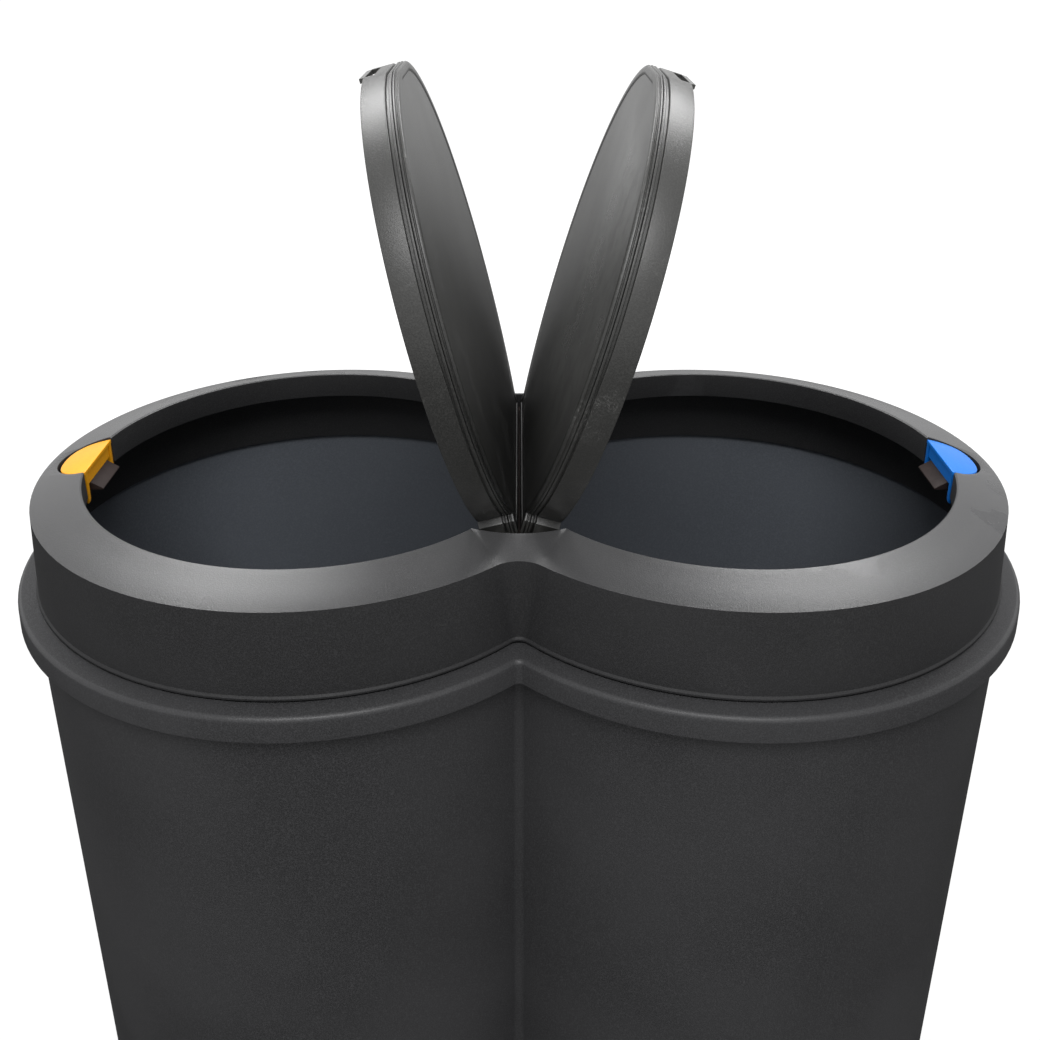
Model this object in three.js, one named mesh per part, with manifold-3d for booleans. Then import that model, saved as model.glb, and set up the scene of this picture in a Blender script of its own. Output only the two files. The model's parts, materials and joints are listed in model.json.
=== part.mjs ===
// Double recycling bin: one figure-eight tub with a removable divider, a two-mouthed lid frame, and two
// round sprung lids that stand open, each held shut by a push-button latch. Millimetres, +Z up, +X to the
// right, the front towards -Y. The origin is on the floor, midway between the two lobes. The lids are built
// shut about their hinge rods and then turned to the open stop, which is the rest pose.

import * as THREE from 'three';
import { mergeVertices } from 'three/addons/utils/BufferGeometryUtils.js';
import Module from 'manifold-3d';

const wasm = await Module();
wasm.setup();

// ---------------------------------------------------------------- driving dimensions
const TOP_Z = 500; // edge of the mouths
const LOBE_X = 108.8; // each round lobe is centred this far from the middle
const CREST_R = 144; // lid frame's outer edge at its top
const CREST_DROP = 6.6; // the top flange falls this much from mouth to crest
const SKIRT_R = 146.9; // lid frame's skirt at its foot
const SKIRT_DROP = 43.5; // crest to skirt foot
const MOUTH_R = 118.7; // round mouth that a lid fills
const WALL = 2.6;
const TUB_TOP_R = 148.8;
const TUB_FOOT_R = 144.6;
const RIM_R = 156.4; // tub's turned-down rim, the widest line of the bin
const RIM_LIP = 12.5;
const CLEARANCE = 0.3;

const HINGE_X = 10; // hinge rods lie this far either side of the middle
const HINGE_DROP = 1; // and this far below the crest
const ROD_R = 2;
const LID_R = 117.2;
const LID_PROUD = 3; // a shut lid's face stands this far above the mouths' edge
const LID_THICK = 18.1;
const LID_TIP = 115.8; // flat at the lid's tip, from the lobe's centre
const NECK_HALF = 79; // half length of the lid's straight hinge side
const NECK_BACK = 6; // hinge side stands this far behind the rod

const BUTTON_TRAVEL = 3;
const BOLT_TRAVEL = 5;
const WIRE_SIDES = 5;
const CURL_STEPS = 8;

const CREST_Z = TOP_Z - CREST_DROP;
const SKIRT_Z = CREST_Z - SKIRT_DROP;
const HINGE_Z = CREST_Z - HINGE_DROP;
const LOBE_STEPS = 32;
const WAIST_STEPS = 6;

// ---------------------------------------------------------------- finishes
function plastic(color, roughness = 0.55) {
  return new THREE.MeshStandardMaterial({ color, roughness, metalness: 0 });
}

const charcoal = () => plastic(0x2c2d2f);
const darkPart = () => plastic(0x2a262b, 0.5);
const steel = () => new THREE.MeshStandardMaterial({ color: 0xb9bcc0, roughness: 0.3, metalness: 1 });

// ---------------------------------------------------------------- solids
function solidOf(geometry) {
  const bare = new THREE.BufferGeometry();
  bare.setAttribute('position', geometry.getAttribute('position'));
  bare.setIndex(geometry.getIndex());
  const merged = mergeVertices(bare, 1e-4);
  const vertProperties = new Float32Array(merged.getAttribute('position').array);
  const triVerts = new Uint32Array(merged.getIndex().array);
  return new wasm.Manifold(new wasm.Mesh({ numProp: 3, vertProperties, triVerts }));
}

function geometryOf(solid) {
  const { vertProperties, triVerts } = solid.getMesh();
  const geometry = new THREE.BufferGeometry();
  geometry.setAttribute('position', new THREE.BufferAttribute(vertProperties, 3));
  geometry.setIndex(new THREE.BufferAttribute(triVerts, 1));
  geometry.computeVertexNormals();
  return geometry;
}

function join(...solids) {
  return solids.reduce((whole, piece) => whole.add(piece));
}

function cut(solid, ...tools) {
  return tools.reduce((left, tool) => left.subtract(tool), solid);
}

// Block between two opposite corners.
function block([x0, y0, z0], [x1, y1, z1]) {
  const geometry = new THREE.BoxGeometry(x1 - x0, y1 - y0, z1 - z0);
  return solidOf(geometry.translate((x0 + x1) / 2, (y0 + y1) / 2, (z0 + z1) / 2));
}

// Flat outline in X and Y, raised from one height to another.
function prism(points, z0, z1) {
  const outline = new THREE.Shape(points.map(([x, y]) => new THREE.Vector2(x, y)));
  const geometry = new THREE.ExtrudeGeometry(outline, { depth: z1 - z0, bevelEnabled: false });
  return solidOf(geometry.translate(0, 0, z0));
}

// Outline in X and Z, run along Y between two places.
function barAlongY(points, y0, y1) {
  const outline = new THREE.Shape(points.map(([x, z]) => new THREE.Vector2(x, z)));
  const geometry = new THREE.ExtrudeGeometry(outline, { depth: y1 - y0, bevelEnabled: false });
  const turn = new THREE.Matrix4().set(1, 0, 0, 0, 0, 0, -1, y1, 0, 1, 0, 0, 0, 0, 0, 1);
  return solidOf(geometry.applyMatrix4(turn));
}

// Outline in Y and Z, run along X between two places.
function barAlongX(points, x0, x1) {
  const outline = new THREE.Shape(points.map(([y, z]) => new THREE.Vector2(y, z)));
  const geometry = new THREE.ExtrudeGeometry(outline, { depth: x1 - x0, bevelEnabled: false });
  const turn = new THREE.Matrix4().set(0, 0, 1, x0, 1, 0, 0, 0, 0, 1, 0, 0, 0, 0, 0, 1);
  return solidOf(geometry.applyMatrix4(turn));
}

function rodAlongY(x, z, radius, y0, y1, sides = 16) {
  const geometry = new THREE.CylinderGeometry(radius, radius, y1 - y0, sides);
  return solidOf(geometry.translate(x, (y0 + y1) / 2, z));
}

function rodAlongX(y, z, radius, x0, x1, sides = 12) {
  const geometry = new THREE.CylinderGeometry(radius, radius, x1 - x0, sides);
  return solidOf(geometry.rotateZ(Math.PI / 2).translate((x0 + x1) / 2, y, z));
}

function rodAlongZ(x, y, radius, z0, z1, sides = 16) {
  const geometry = new THREE.CylinderGeometry(radius, radius, z1 - z0, sides);
  return solidOf(geometry.rotateX(Math.PI / 2).translate(x, y, (z0 + z1) / 2));
}

// ---------------------------------------------------------------- figure-eight outlines
// One ring is the right lobe's arc, the back waist, the left lobe's arc and the front waist, always with the
// same number of points, so that any ring can be joined to the next.
function ringOf(radius, lobeEnd, waistPoints, z) {
  const ring = [];
  for (const side of [1, -1]) {
    for (let i = 0; i <= LOBE_STEPS; i++) {
      const angle = lobeEnd * ((2 * i) / LOBE_STEPS - 1);
      ring.push([side * (LOBE_X + radius * Math.cos(angle)), side * radius * Math.sin(angle), z]);
    }
    for (const [x, y] of waistPoints) {
      ring.push([side * x, side * y, z]);
    }
  }
  return ring;
}

// Two circles joined at the waist by a hollow of its own radius.
function waisted(radius, hollow, z) {
  const hollowY = Math.sqrt((radius + hollow) ** 2 - LOBE_X ** 2);
  const reach = Math.atan2(LOBE_X, hollowY);
  const waist = [];
  for (let i = 1; i < WAIST_STEPS; i++) {
    const angle = reach * (1 - (2 * i) / WAIST_STEPS);
    waist.push([hollow * Math.sin(angle), hollowY - hollow * Math.cos(angle)]);
  }
  return ringOf(radius, Math.atan2(hollowY, -LOBE_X), waist, z);
}

// Two circles joined by the straight-sided slot in which the lids' hinge sides stand.
const SLOT_HALF = 22;
const SLOT_Y = 81;
const SLOT_BOW = 5;

function mouthed(radius, z) {
  const grow = radius - MOUTH_R;
  const half = SLOT_HALF + 0.8 * grow;
  const waist = [];
  for (let i = 1; i < WAIST_STEPS; i++) {
    const across = 1 - (2 * (i - 1)) / (WAIST_STEPS - 2);
    waist.push([half * across, SLOT_Y + grow + SLOT_BOW * (1 - across ** 2)]);
  }
  return ringOf(radius, Math.acos((half - LOBE_X) / radius), waist, z);
}

// Rings joined in order. A closed loft comes back to its first ring; an open one is capped at both ends.
function loft(rings, closed) {
  const count = rings[0].length;
  const position = rings.flat(2);
  const index = [];
  const last = closed ? rings.length : rings.length - 1;
  for (let i = 0; i < last; i++) {
    const here = i * count;
    const next = ((i + 1) % rings.length) * count;
    for (let j = 0; j < count; j++) {
      const k = (j + 1) % count;
      index.push(here + j, here + k, next + k);
      index.push(here + j, next + k, next + j);
    }
  }
  if (!closed) {
    const cap = (ring, from, flip) => {
      const outline = ring.map(([x, y]) => new THREE.Vector2(x, y));
      for (const [a, b, c] of THREE.ShapeUtils.triangulateShape(outline, [])) {
        index.push(...(flip ? [from + a, from + c, from + b] : [from + a, from + b, from + c]));
      }
    };
    cap(rings[0], 0, true);
    cap(rings.at(-1), (rings.length - 1) * count, false);
  }
  const geometry = new THREE.BufferGeometry();
  geometry.setAttribute('position', new THREE.Float32BufferAttribute(position, 3));
  geometry.setIndex(index);
  return solidOf(geometry);
}

// ---------------------------------------------------------------- wire
function pointsGap(points, thickness) {
  let least = Infinity;
  const apart = CURL_STEPS / 2;
  points.forEach((point, i) => {
    for (let j = i + apart; j < points.length; j++) {
      least = Math.min(least, point.distanceTo(points[j]) - thickness);
    }
  });
  return least;
}

// One unbroken tube through the points, with flat ends.
function wire(name, points, thickness) {
  const position = [];
  const index = [];
  let side = new THREE.Vector3(0.3, 0.5, 0.8);
  points.forEach((point, i) => {
    const before = points[Math.max(i - 1, 0)];
    const after = points[Math.min(i + 1, points.length - 1)];
    const along = after.clone().sub(before).normalize();
    side = side.clone().addScaledVector(along, -side.dot(along)).normalize();
    const across = along.clone().cross(side);
    for (let k = 0; k < WIRE_SIDES; k++) {
      const angle = (2 * Math.PI * k) / WIRE_SIDES;
      const spot = point.clone();
      spot.addScaledVector(side, (thickness / 2) * Math.cos(angle));
      spot.addScaledVector(across, (thickness / 2) * Math.sin(angle));
      position.push(spot.x, spot.y, spot.z);
    }
  });
  const last = (points.length - 1) * WIRE_SIDES;
  for (let i = 0; i < last; i += WIRE_SIDES) {
    for (let k = 0; k < WIRE_SIDES; k++) {
      const next = (k + 1) % WIRE_SIDES;
      index.push(i + k, i + next, i + WIRE_SIDES + next);
      index.push(i + k, i + WIRE_SIDES + next, i + WIRE_SIDES + k);
    }
  }
  for (let k = 1; k < WIRE_SIDES - 1; k++) {
    index.push(0, k + 1, k);
    index.push(last, last + k, last + k + 1);
  }
  const geometry = new THREE.BufferGeometry();
  geometry.setAttribute('position', new THREE.Float32BufferAttribute(position, 3));
  geometry.setIndex(index);
  console.log(`${name}: least gap of the wire to itself ${pointsGap(points, thickness).toFixed(2)} mm`);
  return solidOf(geometry);
}

// ---------------------------------------------------------------- tub and divider
const RIM_TOP_Z = SKIRT_Z - CLEARANCE;
const TUB_HOLLOW = 4; // radius of the hollow where the two lobes meet
const RIM_HOLLOW = 3.6; // and the same at the rim's outer edge
const FLOOR = 2.8;
const GUIDE_TOP_Z = SKIRT_Z - 7;
const PANEL_HALF = 0.9;

// Divider guides and panel lean with the tub's waist, so their edges are given at the foot and at the top.
const waistY = (radius, hollow) => Math.sqrt((radius + hollow) ** 2 - LOBE_X ** 2) - hollow;
const WAIST_FOOT_Y = waistY(TUB_FOOT_R - WALL, TUB_HOLLOW + WALL);
const WAIST_TOP_Y = waistY(TUB_TOP_R - WALL, TUB_HOLLOW + WALL);

function binBody() {
  const inner = TUB_HOLLOW + WALL;
  const shell = loft(
    [
      waisted(TUB_FOOT_R - 17, TUB_HOLLOW + 17, 2.5),
      waisted(TUB_FOOT_R - 15.5, TUB_HOLLOW + 15.5, 0),
      waisted(TUB_FOOT_R - 5, TUB_HOLLOW + 5, 0),
      waisted(TUB_FOOT_R - 1.5, TUB_HOLLOW + 1.5, 1.5),
      waisted(TUB_FOOT_R, TUB_HOLLOW, 5),
      waisted(TUB_TOP_R, TUB_HOLLOW, RIM_TOP_Z - 4),
      waisted(RIM_R - WALL, RIM_HOLLOW + WALL, RIM_TOP_Z - 5.4),
      waisted(RIM_R - WALL + 0.6, RIM_HOLLOW + WALL - 0.6, RIM_TOP_Z - 2 - RIM_LIP),
      waisted(RIM_R + 0.3, RIM_HOLLOW - 0.3, RIM_TOP_Z - 2 - RIM_LIP),
      waisted(RIM_R, RIM_HOLLOW, RIM_TOP_Z - 4.4),
      waisted(RIM_R - 1.6, 4, RIM_TOP_Z - 2),
      waisted(TUB_TOP_R - 1, TUB_HOLLOW + 1, RIM_TOP_Z),
      waisted(TUB_TOP_R - WALL, inner, RIM_TOP_Z),
      waisted(TUB_FOOT_R - WALL, inner, FLOOR + 5),
      waisted(TUB_FOOT_R - WALL - 4, inner + 4, FLOOR + 1.8),
    ],
    false,
  );
  const guides = [];
  for (const side of [1, -1]) {
    for (const x of [1.25, -2.95]) {
      const outline = [
        [side * (WAIST_FOOT_Y - 5), FLOOR + 1],
        [side * (WAIST_FOOT_Y + 1.4), FLOOR + 1],
        [side * (WAIST_TOP_Y + 1.2), GUIDE_TOP_Z],
        [side * (WAIST_TOP_Y - 5), GUIDE_TOP_Z],
      ];
      guides.push(barAlongX(outline, x, x + 1.7));
    }
  }
  return join(shell, ...guides);
}

const BAR_TOP = CREST_Z - 12.8;
const BAR_FOOT = CREST_Z - 24;
const PANEL_TOP = CREST_Z - 19.5;

function dividerPanel() {
  const shoulder = GUIDE_TOP_Z + 1;
  const half = [
    [WAIST_FOOT_Y - 6, FLOOR + 2.4],
    [WAIST_FOOT_Y - 1, FLOOR + 8],
    [WAIST_TOP_Y - 1, shoulder],
    [95.5, shoulder + 2],
    [95.5, BAR_FOOT - 6],
    [79, BAR_FOOT - 6],
    [79, PANEL_TOP],
  ];
  const mirrored = half.map(([y, z]) => [-y, z]).reverse();
  return barAlongX([...half, ...mirrored], -PANEL_HALF, PANEL_HALF);
}

// ---------------------------------------------------------------- lid frame
const SCREW_Y = 93.2;
const BOSS_FOOT = CREST_Z - 20;
const NOTCH_HALF = 22.2; // notch that a latch button sits in
const BUTTON_FLAT = 116.5; // button's straight inner edge, from the lobe's centre

// Half ellipse bulging outwards from the button's straight edge.
function buttonOutline(half, depth, inwards) {
  const points = [[BUTTON_FLAT - inwards, half], [BUTTON_FLAT - inwards, -half]];
  const steps = 14;
  const first = inwards > 0 ? 0 : 1;
  for (let i = first; i <= steps - first; i++) {
    const angle = (Math.PI * i) / steps - Math.PI / 2;
    points.push([BUTTON_FLAT + depth * Math.cos(angle), half * Math.sin(angle)]);
  }
  return points;
}

function lidFrame() {
  const ring = loft(
    [
      waisted(SKIRT_R, 5, SKIRT_Z),
      waisted(CREST_R + 0.3, 15, CREST_Z - 4),
      waisted(CREST_R - 1.1, 16.4, CREST_Z - 1.2),
      waisted(CREST_R - 3.8, 19, CREST_Z + 0.1),
      mouthed(MOUTH_R + 1.6, TOP_Z - 0.4),
      mouthed(MOUTH_R + 0.5, TOP_Z),
      mouthed(MOUTH_R, TOP_Z - 1),
      mouthed(MOUTH_R - 0.3, CREST_Z - 8),
      mouthed(MOUTH_R + 1.9, CREST_Z - 8),
      mouthed(MOUTH_R + 2.2, TOP_Z - 3.4),
      waisted(CREST_R - 4.5, 20, CREST_Z - 2.6),
      waisted(CREST_R - WALL, 17.5, CREST_Z - 5),
      waisted(SKIRT_R - 3.8, 8.8, SKIRT_Z + 5),
      waisted(SKIRT_R - 3.8, 8.8, SKIRT_Z - 3),
      waisted(SKIRT_R - 1.5, 6.5, SKIRT_Z - 3),
      waisted(SKIRT_R - 1.5, 6.5, SKIRT_Z),
    ],
    true,
  );
  const bosses = [];
  const pilots = [];
  for (const y of [SCREW_Y, -SCREW_Y]) {
    bosses.push(rodAlongZ(0, y, 3.6, BOSS_FOOT, CREST_Z + 1.6));
    pilots.push(rodAlongZ(0, y, 1.9, BOSS_FOOT - 1, CREST_Z - 5, 12));
  }
  const notches = [];
  for (const side of [1, -1]) {
    const outline = buttonOutline(NOTCH_HALF, 21, 7).map(([u, y]) => [side * (LOBE_X + u), side * y]);
    notches.push(prism(outline, CREST_Z - 12, TOP_Z + 3));
  }
  return cut(join(ring, ...bosses), ...pilots, ...notches);
}

// ---------------------------------------------------------------- hinge bridge
const EAR_IN = 80;
const EAR_OUT = 83;
const KNUCKLE_R = 3.8;
const KNUCKLE_HALF = 5;
const SPRING_START = 12.5;
const COIL_R = 3.3; // torsion spring, to the middle of its wire
const SPRING_WIRE = 1.1;

function hingeBridge() {
  const pieces = [
    block([-8.6, -EAR_OUT, BAR_FOOT], [8.6, EAR_OUT, BAR_TOP]),
    block([-1.1, -EAR_OUT, BAR_TOP - 1], [1.1, EAR_OUT, CREST_Z - 0.6]),
  ];
  const cuts = [block([-1.3, -EAR_IN, BAR_FOOT - 1], [1.3, EAR_IN, PANEL_TOP + CLEARANCE])];
  for (const end of [1, -1]) {
    const [near, far] = end > 0 ? [EAR_IN, EAR_OUT] : [-EAR_OUT, -EAR_IN];
    const [tongueNear, tongueFar] = end > 0 ? [EAR_OUT - 1, 96.4] : [-96.4, 1 - EAR_OUT];
    pieces.push(block([-13.4, near, BAR_FOOT], [13.4, far, HINGE_Z]));
    pieces.push(block([-6, tongueNear, BAR_FOOT], [6, tongueFar, BOSS_FOOT - CLEARANCE]));
    cuts.push(rodAlongZ(0, end * SCREW_Y, 1.9, BAR_FOOT - 1, BOSS_FOOT + 1, 12));
    for (const side of [1, -1]) {
      pieces.push(rodAlongY(side * HINGE_X, HINGE_Z, KNUCKLE_R, near, far));
    }
  }
  for (const side of [1, -1]) {
    const [low, high] = side > 0 ? [7.4, 12.6] : [-12.6, -7.4];
    pieces.push(block([low, -KNUCKLE_HALF, BAR_FOOT], [high, KNUCKLE_HALF, HINGE_Z]));
    pieces.push(rodAlongY(side * HINGE_X, HINGE_Z, KNUCKLE_R, -KNUCKLE_HALF, KNUCKLE_HALF));
    cuts.push(rodAlongY(side * HINGE_X, HINGE_Z, ROD_R + CLEARANCE, -EAR_OUT - 1, EAR_OUT + 1));
    const tailX = side * (HINGE_X - COIL_R);
    const tailY = side * SPRING_START;
    cuts.push(block([tailX - 1.1, tailY - 1.4, BAR_TOP - 6], [tailX + 1.1, tailY + 1.4, BAR_TOP + 1]));
  }
  return cut(join(...pieces), ...cuts);
}

function bridgeScrew(y) {
  const head = rodAlongZ(0, y, 3.1, BAR_FOOT - 2.4, BAR_FOOT - CLEARANCE);
  const shank = rodAlongZ(0, y, 1.5, BAR_FOOT - 1, BOSS_FOOT + 10, 10);
  return join(head, shank);
}

// ---------------------------------------------------------------- lid, shut, about its hinge rod
const LOBE_S = LOBE_X - HINGE_X; // rod to the lobe's centre
const LID_FACE = TOP_Z - HINGE_Z + LID_PROUD; // rod to the lid's top face
const LID_FOOT = LID_FACE - LID_THICK;
const SHELL_TOP = LID_FACE - 3.6;
const TIP_SLOT_HALF = 14.4;
const WINDOW_R = 104; // round window in the shell's ceiling
const WINDOW_EDGE = 16; // and its straight side, this far from the rod

function lidOutline(inset) {
  const radius = LID_R - inset;
  const start = Math.acos((12.5 - LOBE_S) / radius);
  const tip = Math.acos((LID_TIP - inset) / radius);
  const points = [
    [inset - NECK_BACK, inset - NECK_HALF],
    [7.6 - 0.4 * inset, inset - NECK_HALF],
    [10.3, inset - NECK_HALF + 2.4],
  ];
  for (let i = 0; i <= LOBE_STEPS / 2; i++) {
    const angle = -start + ((start - tip) * i) / (LOBE_STEPS / 2);
    points.push([LOBE_S + radius * Math.cos(angle), radius * Math.sin(angle)]);
  }
  const mirrored = points.map(([s, y]) => [s, -y]).reverse();
  return [...points, ...mirrored];
}

// Wedges that take the long corners off the hinge side, so that it turns clear of the bridge and of the
// other lid. A chamfer falls this far down the hinge side and runs in this far along the face.
const FACE_HEEL = { fall: 4.9, run: 8.2 };
const FOOT_HEEL = { fall: 3, run: 2.5 };
const HEEL_WALL = 3;

function heelWedge(face, up, { fall, run }, inwards = 0) {
  const past = 2;
  const slope = fall / run;
  const behind = inwards - NECK_BACK - past;
  const points = [
    [behind, face - up * (fall + past * slope)],
    [inwards - NECK_BACK + run + past / slope, face + up * past],
    [behind, face + up * past],
  ];
  return barAlongY(points, -NECK_HALF - 1, NECK_HALF + 1);
}

function lidShell() {
  const skirt = cut(
    prism(lidOutline(0), LID_FOOT, SHELL_TOP),
    prism(lidOutline(2.2), LID_FOOT - 1, SHELL_TOP - 2),
  );
  const start = Math.acos((WINDOW_EDGE - LOBE_S) / WINDOW_R);
  const window = [];
  for (let i = 0; i <= LOBE_STEPS; i++) {
    const angle = start * ((2 * i) / LOBE_STEPS - 1);
    window.push([LOBE_S + WINDOW_R * Math.cos(angle), WINDOW_R * Math.sin(angle)]);
  }
  const bosses = [];
  for (const [y0, y1] of [[-78, -71], [-10, -6.6], [6.6, 10], [71, 78]]) {
    bosses.push(block([-4.2, y0, -4], [4.2, y1, SHELL_TOP - 1]));
  }
  const tipFace = LOBE_S + LID_TIP;
  const tab = block([tipFace - 2.2, -15.9, LID_FOOT - 2], [tipFace, 15.9, LID_FOOT + 1]);
  return cut(
    join(skirt, ...bosses, tab),
    prism(window, SHELL_TOP - 3, SHELL_TOP + 1),
    rodAlongY(0, 0, ROD_R + CLEARANCE, -NECK_HALF - 1, NECK_HALF + 1),
    block([-NECK_BACK - 1, -5.8, LID_FOOT - 1], [5, 5.8, SHELL_TOP + 1]),
    block([-NECK_BACK - 1, 11, LID_FOOT - 1], [9, 27, SHELL_TOP + 1]),
    block([tipFace - 4, -TIP_SLOT_HALF, LID_FOOT + 0.6], [tipFace + 1, TIP_SLOT_HALF, LID_FOOT + 5.2]),
    heelWedge(LID_FOOT, -1, FOOT_HEEL),
    heelWedge(LID_FACE, 1, FACE_HEEL),
  );
}

function lidCover() {
  const pan = prism(lidOutline(4.6), LID_FACE - 0.7, LID_FACE + 1);
  const hollow = prism(lidOutline(3), SHELL_TOP, LID_FACE - 2.5);
  return cut(
    prism(lidOutline(0), SHELL_TOP + CLEARANCE, LID_FACE),
    cut(join(pan, hollow), heelWedge(LID_FACE, 1, FACE_HEEL, HEEL_WALL)),
    heelWedge(LID_FACE, 1, FACE_HEEL),
  );
}

// ---------------------------------------------------------------- hinge rod and torsion spring
function hingeRod() {
  return rodAlongY(HINGE_X, HINGE_Z, ROD_R, -EAR_OUT + 0.2, EAR_OUT - 0.2);
}

// The tail stands in the bridge, the coil goes round the rod, and the arm lies under the lid's ceiling.
function torsionSpring(openAngle) {
  const turns = 5;
  const pitch = 1.75;
  const sweep = 2 * Math.PI * turns + Math.PI / 2 - openAngle;
  const steps = Math.round((CURL_STEPS * sweep) / (2 * Math.PI));
  const points = [];
  for (const drop of [16, 8, 2.5]) {
    points.push(new THREE.Vector3(HINGE_X - COIL_R, SPRING_START, HINGE_Z - drop));
  }
  let y = SPRING_START;
  for (let i = 0; i <= steps; i++) {
    const angle = Math.PI - (sweep * i) / steps;
    y = SPRING_START + (pitch * sweep * i) / (2 * Math.PI * steps);
    points.push(new THREE.Vector3(HINGE_X + COIL_R * Math.cos(angle), y, HINGE_Z + COIL_R * Math.sin(angle)));
  }
  for (const [s, h] of [[3.2, 3.4], [8.2, SHELL_TOP - 3.1], [14, SHELL_TOP - 3.1], [24, SHELL_TOP - 3.1]]) {
    const x = HINGE_X + s * Math.cos(openAngle) - h * Math.sin(openAngle);
    const z = HINGE_Z + s * Math.sin(openAngle) + h * Math.cos(openAngle);
    points.push(new THREE.Vector3(x, y, z));
  }
  return wire('torsion spring', points, SPRING_WIRE);
}

// ---------------------------------------------------------------- latch, from the lobe's centre
const NOSE_TIP = 111;
const RAMP = BUTTON_TRAVEL / BOLT_TRAVEL; // the web drives the bolt outwards down this slope
const rampZ = (u) => CREST_Z - 7 + (u - NOSE_TIP) * RAMP;
const BOLT_HALF = 13.5;
const BOLT_REAR = 127.5;
const BOLT_FOOT = CREST_Z - 7.8;
const SPRING_SEAT = 138.4;
const SPRING_AXIS_Z = CREST_Z - 6;
const BUTTON_SLOPE = 0.257;
const BUTTON_FACE = CREST_Z + 6.2;

function latchButton() {
  const outline = buttonOutline(21, 18.5, 0);
  const shape = new THREE.Shape(outline.map(([u, y]) => new THREE.Vector2(u, y)));
  const flat = new THREE.ExtrudeGeometry(shape, { depth: 2, bevelEnabled: false });
  const tilt = new THREE.Matrix4();
  const lift = BUTTON_FACE - 2 + BUTTON_SLOPE * BUTTON_FLAT;
  tilt.set(1, 0, 0, 0, 0, 1, 0, 0, -BUTTON_SLOPE, 0, 1, lift, 0, 0, 0, 1);
  const plate = solidOf(flat.applyMatrix4(tilt));
  const web = barAlongY(
    [
      [117.2, rampZ(117.2) + 0.4],
      [119.2, rampZ(119.2) + 0.4],
      [119.2, BUTTON_FACE - 1.6],
      [117.2, BUTTON_FACE - 1.2],
    ],
    -18,
    18,
  );
  const legSide = [
    [BUTTON_FLAT, CREST_Z - 11],
    [BUTTON_FLAT + 1, CREST_Z - 12.5],
    [BUTTON_FLAT + 2.6, CREST_Z - 12.5],
    [BUTTON_FLAT + 4.8, CREST_Z - 8.5],
    [BUTTON_FLAT + 4.8, BUTTON_FACE - 2.4],
    [BUTTON_FLAT, BUTTON_FACE - 1],
  ];
  return join(plate, web, barAlongY(legSide, 17.6, 20.4), barAlongY(legSide, -20.4, -17.6));
}

function latchBolt() {
  const side = [
    [NOSE_TIP, BOLT_FOOT],
    [BOLT_REAR, BOLT_FOOT],
    [BOLT_REAR, CREST_Z - 4.2],
    [121.2, CREST_Z - 4.2],
    [121.2, rampZ(119.5)],
    [119.5, rampZ(119.5)],
    [NOSE_TIP, rampZ(NOSE_TIP)],
  ];
  return join(
    barAlongY(side, -BOLT_HALF, BOLT_HALF),
    rodAlongX(0, SPRING_AXIS_Z, 1, BOLT_REAR - 1, BOLT_REAR + 3),
  );
}

function latchHousing() {
  const floorTop = BOLT_FOOT - 0.4;
  const floorFoot = floorTop - 1.7;
  const pieces = [
    block([118, -16.4, floorFoot], [136, 16.4, floorTop]),
    block([123, -27, floorFoot], [137.6, 27, floorTop]),
    block([136, -8, floorFoot], [140.1, 8, floorTop]),
    block([SPRING_SEAT + CLEARANCE, -8, floorFoot], [140.1, 8, CREST_Z - 4.6]),
    rodAlongX(0, SPRING_AXIS_Z, 1, SPRING_SEAT - 2.2, SPRING_SEAT + 1),
  ];
  for (const side of [1, -1]) {
    const [wallNear, wallFar] = side > 0 ? [14.2, 16.4] : [-16.4, -14.2];
    const [earNear, earFar] = side > 0 ? [24.6, 27] : [-27, -24.6];
    pieces.push(block([121, wallNear, floorFoot], [137.6, wallFar, CREST_Z - 4]));
    pieces.push(block([123, earNear, floorFoot], [130, earFar, CREST_Z - 0.9]));
  }
  return join(...pieces);
}

function latchSpring() {
  const turns = 6;
  const from = BOLT_REAR + 0.7;
  const to = SPRING_SEAT - 0.4;
  const radius = 1.55;
  const points = [];
  for (let i = 0; i <= turns * CURL_STEPS; i++) {
    const angle = (2 * Math.PI * i) / CURL_STEPS;
    const u = from + ((to - from) * i) / (turns * CURL_STEPS);
    points.push(new THREE.Vector3(u, radius * Math.cos(angle), SPRING_AXIS_Z + radius * Math.sin(angle)));
  }
  return wire('latch spring', points, 0.6);
}

// ---------------------------------------------------------------- the bin
const bin = new THREE.Group();

function add(parent, name, solid, material) {
  const mesh = new THREE.Mesh(geometryOf(solid), material);
  mesh.name = name;
  parent.add(mesh);
}

add(bin, 'bin_body', binBody(), charcoal());
add(bin, 'divider_panel', dividerPanel(), charcoal());
add(bin, 'lid_frame', lidFrame(), charcoal());
add(bin, 'hinge_bridge', hingeBridge(), charcoal());
add(bin, 'bridge_screw_front', bridgeScrew(-SCREW_Y), steel());
add(bin, 'bridge_screw_back', bridgeScrew(SCREW_Y), steel());

// Both halves are the same parts, and the left one is turned half a turn about the upright axis. The left lid
// stands a little steeper than the right one.
const halves = [
  { side: 'right', turn: 0, openDegrees: 73.1, buttonColor: 0x2f86ea },
  { side: 'left', turn: Math.PI, openDegrees: 75.3, buttonColor: 0xf6b81f },
];

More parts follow.
